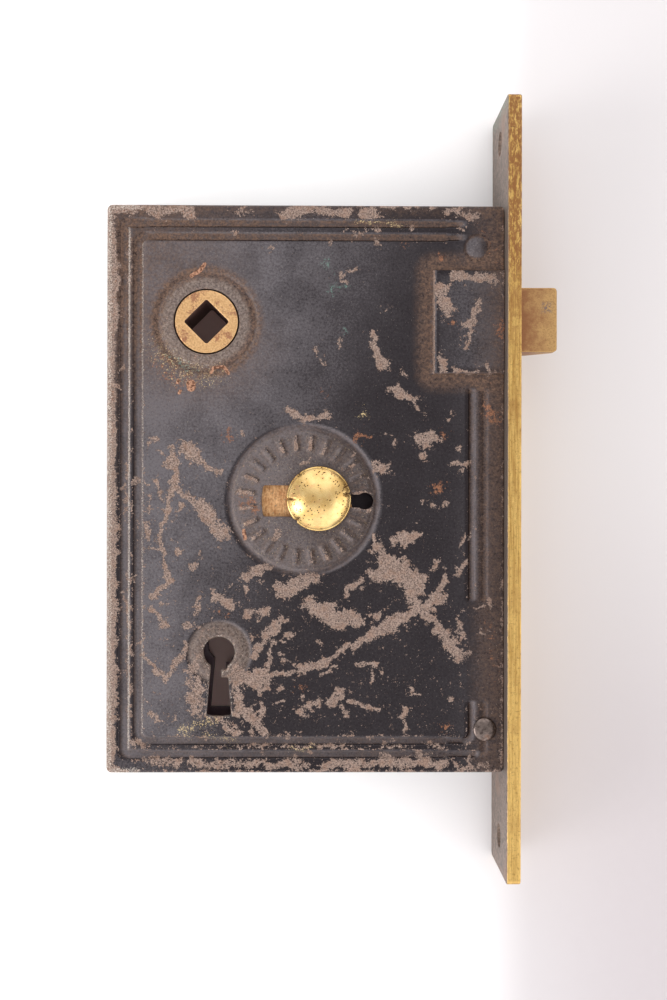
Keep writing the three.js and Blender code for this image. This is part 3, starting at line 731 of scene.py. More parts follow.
# Marks on the cover's paint, as (start x, start y, end x, end y, half width, strength) from its middle.
BARE = [
    # upper rim and between the upper grooves
    (-41, 62.6, -26, 62.4, 1.2, 0.26), (-4, 62, -0.5, 61.8, 1.3, 0.3), (2.5, 62.5, 9, 61.8, 1.2, 0.27),
    (13, 62, 15.5, 61.9, 1.0, 0.28), (16, 63.2, 29, 63.2, 0.4, 0.26), (32, 61.9, 37.5, 61.7, 1.1, 0.24),
    (7.7, 57.8, 16.5, 57.7, 0.35, 0.19), (23.7, 57.9, 24, 57.6, 0.5, 0.26),
    (34.7, 58.1, 34.9, 58, 0.4, 0.26), (15.8, 54.9, 16, 54.7, 0.6, 0.28), (8.4, 47.8, 8.8, 46.8, 0.9, 0.24),
    (-16, 61.9, -12, 61.9, 0.8, 0.2),
    # left rim and between the left grooves
    (-43.4, 61, -43.2, 48, 1.0, 0.22), (-43, 47, -42.9, 36, 1.2, 0.27), (-43.5, 36, -43.4, 18, 0.8, 0.25),
    (-43.2, 15, -43.2, -34, 1.2, 0.25), (-43.3, -34, -43.2, -58, 1.1, 0.24),
    (-39.6, 57, -39.5, 45, 0.35, 0.18), (-39.4, 10, -39.4, -8, 0.5, 0.21),
    (-39.4, -19, -39.4, -33, 0.4, 0.2), (-39.4, -35, -39.2, -51, 0.5, 0.22),
    # upper field
    (2, 31.3, 2.8, 30.2, 0.6, 0.22), (4, 29.5, 4.6, 27.7, 0.5, 0.2), (15, 35, 15.4, 31.5, 0.6, 0.25),
    (15.8, 31.5, 17.4, 27.3, 0.8, 0.29), (20, 22.2, 24.5, 19.4, 0.8, 0.3), (22, 26, 22.3, 25.6, 0.4, 0.25),
    (-3.7, 17.5, -1.2, 16.2, 0.8, 0.27), (-0.5, 15.8, 5, 16.6, 0.9, 0.27), (7, 32.5, 7.3, 32, 0.5, 0.22),
    # latch pad
    (30.2, 45, 31.4, 39.6, 1.1, 0.28), (32.5, 48.2, 40.5, 47.2, 0.9, 0.25),
    (41.8, 48, 42.3, 46.5, 0.8, 0.25), (38.6, 41.8, 36.8, 36.5, 0.7, 0.27), (37.4, 36, 35.2, 32, 0.4, 0.25),
    (30.2, 30.4, 30.6, 26.4, 0.9, 0.26), (40, 27.8, 41, 26.5, 0.9, 0.24), (33, 26.2, 38, 26.2, 0.4, 0.22),
    # beside the medallion
    (-30.2, 8.6, -29, 6.2, 1.1, 0.28), (-27, 9, -23.6, 6.6, 1.4, 0.28), (-22.4, 4.8, -19.2, 4.2, 0.8, 0.23),
    (-29.3, 6, -29.5, -1, 0.55, 0.27), (-29.6, -1, -31.4, -6.5, 0.55, 0.27),
    (-31.4, -6.5, -31.7, -15, 0.5, 0.27), (-31.7, -15, -31, -20.8, 0.45, 0.27),
    (-30.6, -20.8, -34.2, -24, 0.7, 0.27), (-33, 2, -31.9, -3, 0.5, 0.23), (-35, -2, -34.7, -6, 0.5, 0.22),
    (-35, -8, -34.8, -11.5, 0.7, 0.22), (-35.2, -12.6, -32, -13.8, 0.45, 0.25),
    (-28.2, 0.4, -24, -3.6, 0.7, 0.26), (-23.5, -4, -19, -9.6, 1.9, 0.265),
    (-19, -9, -16.4, -10.8, 0.8, 0.24), (-13.8, -20, -9, -17.4, 0.9, 0.26),
    (-4.5, -22.4, 1, -20, 1.6, 0.29), (-20.4, -23.8, -16.6, -25.6, 1.3, 0.245),
    (25.4, 11, 28.4, 11.1, 1.3, 0.29), (26.8, 8, 27, 7.6, 0.5, 0.24), (18.2, 13, 19.2, 12.6, 0.5, 0.24),
    (15.8, 5.1, 18, 4.9, 1.1, 0.28), (33.3, 6, 35.6, 6, 0.6, 0.26), (28.1, -4, 28.4, -4.4, 0.6, 0.25),
    (20.4, -11.8, 24.4, -10.8, 1.1, 0.27), (15, -11, 17, -15, 0.9, 0.26),
    (29.4, -15, 28.2, -18, 0.55, 0.25), (34.1, -19, 35.9, -15.6, 0.7, 0.26),
    (35.6, -10.4, 35.3, -13, 0.35, 0.24),
    # the large patch at the lower right and its streaks
    (15.8, -19.6, 21, -17.6, 1.9, 0.3), (19, -17.2, 24.6, -21, 2.5, 0.32),
    (23.6, -22, 24.6, -26, 1.3, 0.29), (31.1, -19.8, 30, -24.4, 0.7, 0.28),
    (30, -24.4, 26.5, -26.3, 1.3, 0.29), (26.5, -26.3, 20, -30.4, 1.5, 0.29),
    (20, -30.4, 14.5, -33.2, 1.0, 0.28), (14.5, -33.2, 7, -37, 0.65, 0.28),
    (7, -37, -3.8, -41.2, 0.55, 0.28), (7.2, -39.2, 3, -41.4, 0.5, 0.24),
    (9.5, -23.5, 12, -21.6, 0.8, 0.24), (3.6, -27, 12.4, -29.4, 1.6, 0.27),
    (16.3, -28.4, 16.7, -28.7, 0.7, 0.26), (27, -27.8, 30, -30.4, 1.0, 0.27),
    (29.5, -31, 35.4, -37.4, 1.4, 0.28), (34.5, -29.5, 35.2, -33, 0.7, 0.24),
    (13, -38.8, 16, -39.2, 0.6, 0.24), (15.4, -39.6, 14.2, -43, 0.45, 0.23),
    # around the keyhole
    (-23.4, -24.6, -24, -28.4, 0.6, 0.25), (-12.6, -27.4, -8.4, -26.8, 1.0, 0.25),
    (-8.8, -33, -5.2, -29.4, 1.1, 0.26), (2, -26.2, 8, -29.6, 2.0, 0.275),
    (-34, -26.4, -31.2, -30.6, 0.6, 0.24), (-35.8, -37, -30.4, -42.2, 0.55, 0.25),
    (-27, -34.4, -28, -38, 0.7, 0.24), (-28, -38, -30, -40.6, 0.7, 0.23),
    (-25, -40, -23.8, -50, 1.7, 0.235), (-15.2, -40, -15, -50, 1.3, 0.25),
    (-14, -42, -9.2, -42.8, 1.9, 0.265), (-11.4, -37.4, -6, -29.6, 0.85, 0.27),
    (-8.2, -40, -6.6, -33.8, 0.6, 0.26), (-9, -41.4, -5, -41.2, 0.5, 0.25),
    (-19, -52, -15.4, -54, 1.2, 0.22), (-14, -48.6, -9, -54.4, 0.9, 0.25),
    (-9.6, -48.6, -11, -52.4, 0.6, 0.23), (-34, -50.4, -32, -51.8, 0.7, 0.23),
    (-5.6, -48, -5.2, -48.2, 0.6, 0.25), (-0.5, -50, 4, -47.2, 1.0, 0.23),
    (5.4, -48.4, 8, -45.6, 1.1, 0.24), (10.4, -47.2, 16.4, -49.3, 0.65, 0.24),
    (21.9, -50, 21.9, -54, 0.4, 0.26), (25.4, -46, 25.7, -46.3, 0.6, 0.25),
    # between the lower grooves and along the lower rim
    (-38.8, -56.7, -36.2, -57.2, 0.7, 0.23), (-14.7, -57.5, 8.5, -57.4, 0.45, 0.2),
    (18.5, -57.6, 31, -57.4, 0.45, 0.2), (-36, -61, -28, -61.4, 1.0, 0.21),
    (-24.3, -61.6, -1.7, -61.4, 1.2, 0.235), (-1.7, -62.6, 8, -62.6, 0.5, 0.25),
    (4.6, -61.8, 13.2, -61.6, 1.1, 0.25), (14.5, -61.4, 30.4, -61.3, 1.4, 0.25),
    (33.6, -62, 40.6, -61.8, 0.9, 0.22),
]
RUST = [
    (-16.5, 13.6, -16.5, 11, 0.5, 1), (12, 11.6, 14.5, 11.4, 0.6, 1), (31.2, 12.6, 31.4, 11.8, 0.5, 1),
    (29.7, 0.4, 29.8, -0.3, 0.8, 1), (-13.6, -2.6, -11.6, -4.4, 1.4, 0.8), (41, 18.4, 42.8, 15.6, 1.0, 1),
    (43, 37, 43.6, 33.6, 0.9, 0.9), (33.2, 36.9, 34, 36.7, 0.5, 1), (30.2, 51.8, 30.8, 51.6, 0.5, 1),
    (21.4, 54.8, 21.6, 54.7, 0.4, 1), (-1.2, -44.8, -0.8, -45, 0.5, 1), (31.6, -53.6, 31.8, -53.8, 0.5, 1),
    (3.6, 21.8, 3.8, 21.2, 0.5, 1), (-43, 46, -43, 36, 0.9, 0.6), (-43.4, 24, -43.4, 12, 0.7, 0.6),
    (-41, 62.4, -26, 62.2, 0.9, 0.5), (-32, 28.2, -28.5, 24.5, 2.4, 0.7), (-27, 26, -25, 24, 0.9, 0.6),
    (41, -30, 43, -42, 1.2, 0.5), (40, 58, 43, 51, 1.8, 0.5), (-20, -27, -18, -28, 0.8, 0.7),
]
GOLD = [
    (11.6, 59.8, 20.7, 59.2, 0.5, 0.75), (-27, -54, -20.6, -51.6, 1.2, 0.72),
    (-22, -54.8, -16, -56.4, 0.8, 0.66), (-3, -57.8, 2, -57.6, 0.5, 0.7),
    (-29.5, 24.5, -24, 27.5, 0.9, 0.6), (12.9, 17.3, 13.2, 17.1, 0.3, 1),
]
GREEN = [
    (4.4, 51, 4.8, 49.2, 0.5, 1), (5.2, 44, 9.2, 45.4, 0.6, 0.9), (-31, 30, -24, 25.8, 0.5, 0.8),
    (8.4, 35.6, 8.6, 34.6, 0.4, 0.7),
]
COPPER = [
    (-22.6, 50.2, -23.6, 48.6, 0.35, 1), (-24, 48.4, -25.4, 47.4, 0.4, 1),
    (-25.6, 23.4, -25.4, 22.5, 1.0, 1), (-21, 25.9, -20.6, 26.9, 0.25, 1),
    (-20.6, 27, -18.4, 27.3, 0.22, 1), (-18.2, 27.2, -17.1, 25.7, 0.25, 1),
    (-28.4, 24.3, -28.5, 23.9, 0.3, 1), (-27.9, 21.8, -28, 21.4, 0.3, 1),
    (-13.6, -9.4, -13.4, -11, 0.35, 1),
]


def stroke_distance(x, y, x0, y0, x1, y1):
    """Distance from the line between two places."""
    along = np.array([x1 - x0, y1 - y0])
    t = np.clip(((x - x0) * along[0] + (y - y0) * along[1]) / max(along @ along, 1e-9), 0, 1)
    return np.hypot(x - x0 - t * along[0], y - y0 - t * along[1])


def painted(x, y, marks, soft=2.1, ragged=1.0):
    """The strongest of the marks at each point, with torn outlines and a sparse fringe round each."""
    def torn(number):
        coarse = 0.9 * rough_noise(x, y, 3.6, 41 + number, 3)
        return ragged * (coarse + 1.1 * rough_noise(x, y, 1.6, 45 + number, 2))

    u, v = x + torn(0), y + torn(1)
    uneven = 1 + 0.16 * ragged * rough_noise(x, y, 2.6, 43, 3)
    total = np.zeros_like(x)
    for x0, y0, x1, y1, width, strength in marks:
        away = stroke_distance(u, v, x0, y0, x1, y1)
        core = fade(away, width * 0.2, width * soft + 0.25)
        fringe = 0.47 * ragged * fade(away, width, width + 3.2)
        total = np.maximum(total, strength * uneven * np.maximum(core, fringe))
    return total


def scattered(count, seed):
    """Small flakes at random over the cover, most of them low down and to the left."""
    chance = np.random.default_rng(seed)
    marks = []
    while len(marks) < count:
        x, y = chance.uniform(-42, 42), chance.uniform(-62, 62)
        dense = fade(0.5 * x + y, -45, 45)
        turn, reach = chance.uniform(0, math.pi), chance.uniform(0.1, 1.3)
        width, strength = chance.uniform(0.2, 0.6), chance.uniform(0.19, 0.27)
        if chance.random() < 0.12 + dense:
            marks.append((x, y, x + reach * math.cos(turn), y + reach * math.sin(turn), width, strength))
    return marks


def border_depth(x, y):
    """How deep the two pressed grooves are, from 0 to 1. They are wider down the rear edge."""
    depth = 0
    rear = fade(x, REAR + 8, REAR + 10)
    front = ramp(x, FRONT - 13, FRONT - 12)
    half = GROOVE["half"] + 0.2 * rear - 0.2 * front
    for inset, corner in zip(BORDER_INSETS, (1.0, 2.0)):
        side = inset - 0.15 * rear
        distance = rect_inside(x, y, REAR + side, FRONT + 0.1 - inset, -TOP + inset, TOP - inset, corner)
        depth = np.maximum(depth, fade(np.abs(distance), half - WALL, half))
    front_run = ramp(x, FRONT - 10.8, FRONT - 7.9)
    broken = np.clip(ramp(y, 21.9, 22.7) + fade(np.abs(y + 36.3), 11, 11.8), 0, 1)
    shallow = 1 - 0.72 * ramp(x, FRONT - 6.2, FRONT - 5.4)
    return depth * (1 - front_run * broken) * shallow


def ornament(x, y):
    """The medallion's ring groove and its plain radial ribs."""
    u, v = x - MEDALLION[0], y - MEDALLION[1]
    r = np.hypot(u, v)
    groove = -0.42 * fade(np.abs(r - RING), 0.35, 0.95)
    turn = (np.arctan2(v, u) * RIBS["count"] / (2 * math.pi)) % 1 - 0.5
    across = np.abs(turn) * 2 * math.pi / RIBS["count"] * r
    ends = ramp(r - RIBS["inner"], -0.3, 0.3) * fade(r - RIBS["outer"], -0.3, 0.3)
    return groove + RIBS["height"] * fade(across, 0.3, 0.75) * ends


def pad_distance(x, y):
    return rect_inside(x, y, PAD["left"], FRONT + 5, PAD["low"], PAD["high"], 0.4)


def cover_height(x, y):
    """Height of the cover's outer side above its plain face."""
    r, k = distance_from(spindle, x, y), distance_from(key, x, y)
    pad = pad_distance(x, y)
    moat = 0.5 + 0.5 * np.cos(np.pi * np.clip((r - HUB_BOSS - 1.1) / 0.9, -1, 1))
    h = -GROOVE["depth"] * border_depth(x, y) + ornament(x, y)
    h = h + 0.42 * fade(r - HUB_BOSS, -0.5, 0.5) - 0.4 * moat
    h = h + 0.32 * fade(np.abs(k - COLLAR), 0.5, 1.4) - 0.35 * fade(np.abs(k - COLLAR - 1.9), 0.15, 0.8)
    h = np.where(pad > -0.02, np.maximum(h, 0), h)
    h = h + (PAD["rise"] - 0.12) * ramp(pad, -0.02, 0.16)
    return h + 0.9 * fade(distance_from(DIMPLE, x, y), 0.2, 2.8) * fade(pad, -0.5, 0)


def around(function, x, y, reach):
    """The mean of a function on a small circle round each point."""
    angles = np.arange(8) * math.pi / 4
    return sum(function(x + reach * math.cos(a), y + reach * math.sin(a)) for a in angles) / 8


def facing_left(x, y, step):
    """How steeply the cover slopes towards the lamp, which is to the left and a little below."""
    rise = cover_height(x + step, y + 0.15 * step) - cover_height(x - step, y - 0.15 * step)
    return rise / (2 * step)


def cover_marks(x, y, relief, edge, holes):
    """The paint's fields at each point of the cover."""
    cx, cy = x - (REAR + FRONT) / 2, y
    u, v = x - spindle[0], y - spindle[1]
    r, bearing = np.hypot(u, v), np.degrees(np.arctan2(v, u))
    k, d = distance_from(key, x, y), distance_from(DIMPLE, x, y)
    pad = pad_distance(x, y)
    raised, sunk = np.clip(relief / 0.2, 0, 1), np.clip(-relief / 0.12, 0, 1)
    disc = fade(distance_from(MEDALLION, x, y), 15.6, 16.4)
    dome = fade(d, 2.1, 2.6)
    halo = fade(np.abs(pad + 0.6), 0.6, 4.6) * fade(pad, -0.1, 0.3)
    # how much each slope faces the lamp, which drives the painted highlights and painted shade below
    lit = np.clip(1.2 * facing_left(x, y, 0.1), -1, 1)

    # paint worn off the edges, the high ground and the strokes
    worn = 0.06 + 0.05 * fade(cx * 0.5 + cy, -40, 35) + 0.05 * raised - 0.05 * sunk
    worn = worn + 0.09 * fade(edge, 0.15, 1.5) + 0.07 * fade(np.minimum(holes, 5), 0.2, 1.0)
    worn = np.maximum(worn, painted(cx, cy, BARE + scattered(150, 7)) + 0.01)
    pad_edge = fade(np.abs(x - PAD["left"] - 0.1), 0.12, 0.42) * ramp(pad, -0.3, -0.05)
    worn = np.maximum(worn, 0.27 * pad_edge)
    ribs = np.clip(ornament(x, y) / RIBS["height"], 0, 1)
    worn = worn + 0.13 * ribs * ramp(rough_noise(x, y, 9, 61, 2), -0.3, 0.4)
    worn = worn + 0.16 * fade(edge, 0.9, 2.6) * fade(cx, -42, -40.5)

    # grey misting strongest to the left and dust in the grooves, with painted light: painted reflection strongest
    # to the left and over the medallion's left half, painted highlights on slopes that face the lamp, painted
    # shade on slopes that face away, and a painted highlight and a ring of painted shade on the dimple
    left_mist_and_sheen = np.maximum(fade(cx, -34, -14), fade(cx - 0.42 * cy, -38, 12))
    haze = (0.86 - 0.16 * ramp(cy, 25, 50)) * left_mist_and_sheen + 0.09
    haze = haze + disc * (0.26 + 0.28 * fade(cx, -6, 12))
    haze = haze * (1 - 0.65 * fade(edge, 7.8, 8.6))
    haze = haze * (1 - 0.7 * ramp(pad, 0, 0.6)) + 0.25 * ramp(pad, 0.5, 2)
    groove_dust = (0.55 - 0.35 * ramp(cy, 30, 50)) * (1 - ramp(cx, -30, 40) * 0.5)
    haze = haze + groove_dust * np.clip(border_depth(x, y), 0, 1)
    haze = haze - 0.3 * ((r > 7) & (r < 12)) + 0.14 * ramp(cx, 30, 40)
    # painted highlight where slopes face the lamp, painted shade where they face away
    haze = haze + np.where(lit > 0, 0.7, 0.9) * lit + 1.3 * np.clip(facing_left(x, y, 0.7), -0.5, 0.5)
    haze = haze + 0.25 * ramp(-ornament(x, y), 0.1, 0.4)
    # painted highlight on the dimple's left side, then painted shade in a ring round it
    haze = haze + dome * (0.75 - 0.35 * ramp(x - DIMPLE[0], -1, 2) - haze)
    haze = haze - 0.5 * fade(np.abs(d - 2.8), 0.1, 0.4)

    # brown dust round the pad, beside the faceplate, in the sunk ground and round the two bosses
    film = 0.8 * halo + 0.5 * ramp(x, FRONT - 9, FRONT - 2.5) * (1 - 0.55 * ramp(pad, 0, 0.5))
    film = film + sunk * (0.25 + 0.5 * ramp(cy, 20, 50)) + 0.3 * fade(edge, 0.8, 4) * ramp(cy, -30, 40)
    film = film + 0.5 * fade(cx, -42, -4) * ramp(cy, 5, 50) + 0.18 * disc
    film = film + 0.7 * fade(np.abs(r - 11), 0.6, 2.4) + 0.35 * fade(r, 10, 22) * ramp(-cy, -44, -22)
    film = film * (1 - 0.7 * dome) + 0.3 * fade(r, 9.4, 10.2) + 0.5 * fade(k, 5.8, 6.8)

    # bare ground and flecks, with painted glints on slopes that face the lamp and along the keyhole's edge
    lit = np.clip(lit, 0, 1)
    # its last term is a painted glint on slopes that face the lamp
    bare = 0.8 * fade(r, 9.2, 10.2) + 0.6 * fade(k, 6.4, 7.4) + 0.14 * disc + 0.4 * lit * fade(cx, -20, 30)
    lower_left = fade(np.abs(bearing + 118), 25, 75)
    crust = fade(np.abs(r - 10), 0.2, 0.8) * (0.3 + 0.4 * lower_left)
    crust = crust * ramp(rough_noise(u, v, 4, 71, 3), -0.4, 0.3)
    scatter = fade(np.abs(r - 12), 1.5, 5) * (0.12 + 0.42 * lower_left)
    left = fade(cx, -38, -34)
    # painted highlight on slopes that face the lamp, strongest at the left, and pale metal along the left rim
    glint_and_pale_rim = lit * (0.35 + 0.6 * left) + 0.8 * left * fade(edge, 0.9, 1.9)
    # pale metal along the keyhole's edge, partly a painted highlight
    rim = 0.75 * fade(np.abs(keyhole_distance(x, y) - 0.2), 0.1, 0.35)
    return {
        "worn": worn,
        "film": np.clip(film, 0, 1),
        "haze": np.clip(haze, 0, 1),
        "bare": bare,
        "rust": np.maximum(painted(cx, cy, RUST), 0.3 * halo),
        "gold": np.maximum(painted(cx, cy, GOLD), np.maximum(scatter, 0.3 * disc)),
        "green": painted(cx, cy, GREEN),
        "pale": np.maximum(np.maximum(crust, 0.12), np.maximum(rim, glint_and_pale_rim)),
        "copper": painted(cx, cy, COPPER, 1.4, 0.15),
    }


def cover_grid():
    """Grid points of the cover, closer together at its edges, its pad and the walls of its grooves."""
    x_marks = [(REAR, 1.1, 0.12), (FRONT + LAP, 1.0, 0.14), (PAD["left"], 0.3, 0.09)]
    y_marks = [(-TOP, 1.1, 0.12), (TOP, 1.1, 0.12), (PAD["low"], 0.3, 0.09), (PAD["high"], 0.3, 0.09)]
    for inset in BORDER_INSETS:
        for side in (-GROOVE["half"], GROOVE["half"]):
            wall = side - math.copysign(WALL / 2, side)
            x_marks += [(REAR + inset + wall, 0.5, 0.12), (FRONT + 0.2 - inset + wall, 0.4, 0.13)]
            y_marks += [(-TOP + inset + wall, 0.4, 0.13), (TOP - inset + wall, 0.4, 0.13)]
    xs = grid_lines(REAR, FRONT + LAP, 0.32, x_marks)
    ys = grid_lines(-TOP, TOP, 0.32, y_marks)
    return np.meshgrid(xs, ys, indexing="ij")


def build_cover():
    """The pressed plate, with its paint's fields on its points."""
    outline = (REAR, FRONT + LAP, -TOP, TOP, CORNER)
    x, y = rounded_corners(*cover_grid(), *outline)
    x, y = snap_to_holes(x, y, cover_holes, 0.17)
    holes = cover_holes(x, y)
    h = cover_height(x, y)
    marks = cover_marks(x, y, h - around(cover_height, x, y, 0.8), rect_inside(x, y, *outline), holes)
    free_edge = rect_inside(x, y, REAR, FRONT + 5, -TOP, TOP, CORNER)
    h = h + 0.3 * marks["copper"] - rounding(free_edge, 0.7) - rounding(FRONT + LAP - x, 0.06)
    h = h - rounding(holes, 0.25)
    h = h + 0.05 * rough_noise(x, y, 22, 5, 2) + 0.02 * rough_noise(x, y, 2.5, 11, 3)
    upper = np.maximum(FACE + h, UNDER + 0.3)
    lower = np.full_like(h, UNDER)
    return sheet_object("cover_visual", x, y, holes > ON_EDGE, upper, lower, fields=marks)


place(build_cover(), "case_cover", "case", "japanned_steel", japan("japan_cover", cover_fields))


# ---------------------------------------------------------------- faceplate

def wood_distance(u, v):
    """Distance from the middle of the nearer wood screw hole at (u along the plate, v across it)."""
    return np.hypot(np.abs(u) - WOOD_SCREW, v)


def case_distance(u, v):
    """Distance from the middle of the nearer of the case's two screws."""
    return np.minimum(*[np.hypot(u - middle(screw)[1], v) for screw in FRONT_SCREWS])


def sink_depth(distance, sink):
    return np.clip(sink["radius"] - distance, 0, sink["depth"])


def faceplate_holes(u, v):
    """Distance out of the holes for the wood screws, the latch, the bolt and the case's screws."""
    gap = 0.3
    d = np.minimum(wood_distance(u, v) - WOOD_HOLE, case_distance(u, v) - CASE_HOLE)
    for node in ("latch_head", "deadbolt_head"):
        low, high = box_mm(node)
        d = np.minimum(d, -rect_inside(u, v, low[1] - gap, high[1] + gap, low[2] - gap, high[2] + gap, 0.3))
    return d


def build_faceplate():
    """The strip, with eased and slightly uneven edges."""
    length, half = front_high[1], front_high[2]
    outline = (-length, length, -half, half, PLATE_CORNER)
    us, vs = [grid_lines(-end, end, 0.6, [(-end, 0.9, 0.12), (end, 0.9, 0.12)]) for end in (length, half)]
    u, v = rounded_corners(*np.meshgrid(us, vs, indexing="ij"), *outline)
    u, v = snap_to_holes(u, v, faceplate_holes, 0.31)
    worn = np.clip(rough_noise(u, v, 5, 3, 3), 0, 1)
    drop = rounding(rect_inside(u, v, *outline), 0.3) * (1 + 0.8 * worn)
    unevenness = 0.02 * rough_noise(u, v, 3, 21, 3)
    sinks = np.maximum(sink_depth(wood_distance(u, v), WOOD_SINK), sink_depth(case_distance(u, v), CASE_SINK))
    outer = front_high[0] - drop - sinks + unevenness - 0.02
    inner = front_low[0] + drop * 0.8 - unevenness + 0.02
    outer = np.maximum(outer, inner + 0.4)
    inside = faceplate_holes(u, v) > ON_EDGE
    return sheet_object("faceplate_visual", u, v, inside, outer, inner, axes=(1, 2, 0))


brass = ("worn_brass", faceplate_brass())
place(build_faceplate(), "faceplate", "case", *brass)


# ---------------------------------------------------------------- hub, button and rivet

hub = link("hub_visual", worked_copy("hub", bevel=0.22, cell=1.2, seed=3, wobble=0.02))
place(hub, "hub", "hub", "hub_brass", hub_brass())

# Nicks in the button's rim: (degrees round it, half width in degrees, how deep, how far inwards).
NICKS = [(181, 3, 0.35, 2.4), (224, 4, 0.35, 1.6), (10, 4, 0.3, 2.0), (24, 3, 0.1, 2.2), (128, 3, 0.12, 1.0)]


def build_button():
    """A shallow dome with a thin rim, nicked and dented."""
    low, high = box_mm("slide_button")
    centre = (low + high) / 2
    radius = (high[0] - low[0]) / 2
    rim = 0.62
    rise = high[2] - low[2] - rim
    lip = radius - 0.25
    bend = (lip**2 + rise**2) / (2 * rise)
    profile = [(0, 0), (radius - 0.3, 0), (radius - 0.05, 0.12), (radius, 0.3), (radius - 0.06, rim - 0.1)]
    for a in np.linspace(math.asin(lip / bend), 0, 41):
        profile.append((bend * math.sin(a), rim + rise - bend * (1 - math.cos(a))))
    mesh = lathe("button", profile, (centre[0], centre[1], low[2]), steps=200)
    points = coordinates(mesh) / MM
    u, v = points[:, 0] - centre[0], points[:, 1] - centre[1]
    r, angle = np.hypot(u, v), np.degrees(np.arctan2(v, u))
    nick = np.zeros(len(points))
    for at, width, bite, reach in NICKS:
        off = np.abs((angle - at + 180) % 360 - 180)
        pinch = fade(off, width * 0.2, width) * ramp(r, radius - reach, radius - 0.2)
        points[:, 0] -= u / np.maximum(r, 1e-6) * pinch * bite
        points[:, 1] -= v / np.maximum(r, 1e-6) * pinch * bite
        points[:, 2] -= pinch * bite * 0.6 * ramp(points[:, 2], low[2] + rim, low[2] + rim + 0.4)
        nick = np.maximum(nick, ramp(pinch, 0.25, 0.6))
    points[:, 2] -= 0.1 * value_noise(u, v, 4.5, 9) * ramp(points[:, 2], low[2] + rim, high[2])
    mesh.vertices.foreach_set("co", (points * MM).ravel())
    mesh.update()
    add_field(mesh, "nick", nick)
    return link("button_visual", mesh, 50)


place(build_button(), "slide_button", "deadbolt", "polished_brass", polished_brass())


def build_rivet():
    """A shank with a domed head, which stands on the cover."""
    low, high = box_mm("cover_rivet")
    shank, radius = 1.2, 2.62
    head = FACE + 0.05
    shoulder = head + 0.4
    profile = [(0, low[2]), (shank, low[2]), (shank, head), (radius - 0.07, head), (radius, shoulder)]
    for k in range(1, 13):
        a = math.radians(7.5 * k)
        profile.append((radius * math.cos(a), shoulder + (high[2] - shoulder) * math.sin(a)))
    return link("cover_rivet_visual", lathe("cover_rivet", profile, (rivet[0], rivet[1], 0), 64), 50)


rivet_iron = plain_steel("rivet_iron", tint(134, 120, 114), tint(70, 61, 58), 0.35, 0.26)
place(build_rivet(), "cover_rivet", "case", "dark_iron", rivet_iron)


# ---------------------------------------------------------------- the other pieces

satin = ("latch_brass", bolt_brass("latch_brass", 0.5, 8))
bolt_satin = ("worn_brass", bolt_brass("bolt_brass", -9.5, -1.5))
bronze = ("cast_bronze", cast_bronze())
iron = ("plain_iron", plain_steel("plain_iron", tint(150, 142, 134), tint(96, 88, 82), 0.7))
steel = ("spring_steel", plain_steel("spring_steel", tint(138, 142, 150), tint(82, 86, 96), 0.25, 0.35))
case_japan = ("japanned_steel", japan("japan_case", edge_fields, case_low[2] + SHEET))

# (node, body, look, bevel, size of the mesh's cells). A piece's place in the list seeds its unevenness.
WORKED = [
    ("case_back", "case", case_japan, 0.5, 4.0),
    ("front_screw_upper", "case", brass, 0.12, 3.0),
    ("front_screw_lower", "case", brass, 0.12, 3.0),
    ("bolt_guide_stud", "case", iron, 0.2, 3.0),
    ("tumbler_post", "case", iron, 0.2, 3.0),
    ("latch_guide", "case", iron, 0.25, 3.0),
    ("latch_head", "latch", satin, 0.3, 1.6),
    ("latch_stem", "latch", iron, 0.25, 3.0),
    ("latch_yoke", "latch", bronze, 0.35, 2.5),
    ("yoke_pin", "latch", iron, 0.15, 3.0),
    ("spring_washer", "latch", brass, 0.15, 3.0),
    ("deadbolt_head", "deadbolt", bolt_satin, 0.3, 2.5),
    ("deadbolt_tail", "deadbolt", bronze, 0.3, 2.0),
    ("tail_rivet_upper", "deadbolt", brass, 0.2, 3.0),
    ("tail_rivet_lower", "deadbolt", brass, 0.2, 3.0),
    ("bolt_stump", "deadbolt", iron, 0.2, 3.0),
    ("button_stud", "deadbolt", brass, 0.2, 3.0),
    ("button_washer", "deadbolt", brass, 0.15, 3.0),
    ("tumbler_lever", "tumbler", brass, 0.2, 2.5),
    ("tumbler_spring", "tumbler", steel, 0.1, 3.0),
]

for number, (node, body, look, bevel, cell) in enumerate(WORKED):
    place(link(node + "_visual", worked_copy(node, bevel, cell, seed=number)), node, body, *look)


def build_spring():
    """The latch spring, with closed ends, in the CAD coil's box."""
    low, high = box_mm("latch_spring")
    wire = 0.5
    centre = (low + high) / 2
    coil = (high[1] - low[1]) / 2 - wire
    turns, sides, steps = 7, 12, 260
    points, faces = [], []
    for i in range(steps + 1):
        t = i / steps
        a = t * turns * 2 * math.pi
        x = low[0] + wire + (high[0] - low[0] - 2 * wire) * (ramp(t, 0, 1) * 0.35 + t * 0.65)
        for k in range(sides):
            b = 2 * math.pi * k / sides
            r = coil + wire * math.cos(b)
            points.append((x + wire * math.sin(b), centre[1] + r * math.cos(a), centre[2] + r * math.sin(a)))
    for i in range(steps):
        for k in range(sides):
            a, b = i * sides + k, i * sides + (k + 1) % sides
            faces.append((a, b, b + sides, a + sides))
    faces.append(tuple(reversed(range(sides))))
    faces.append(tuple(range(steps * sides, (steps + 1) * sides)))
    return link("latch_spring_visual", closed_mesh("latch_spring", points, faces))


def squeeze_spring(spring):
    """Gives the spring its own copy of its mesh; the latch's travel is read, but nothing shortens the spring."""
    low, high = box_mm("latch_spring")
    joints = frame["record"]["behaviour"]["joints"]
    travel = next(j["range_m"][1] for j in joints if j["name"] == "latch_slide") / MM
    1 - travel / (high[0] - low[0])
    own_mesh(spring)


spring = build_spring()
place(spring, "latch_spring", "case", *steel)
squeeze_spring(spring)


# ---------------------------------------------------------------- floor, light and camera

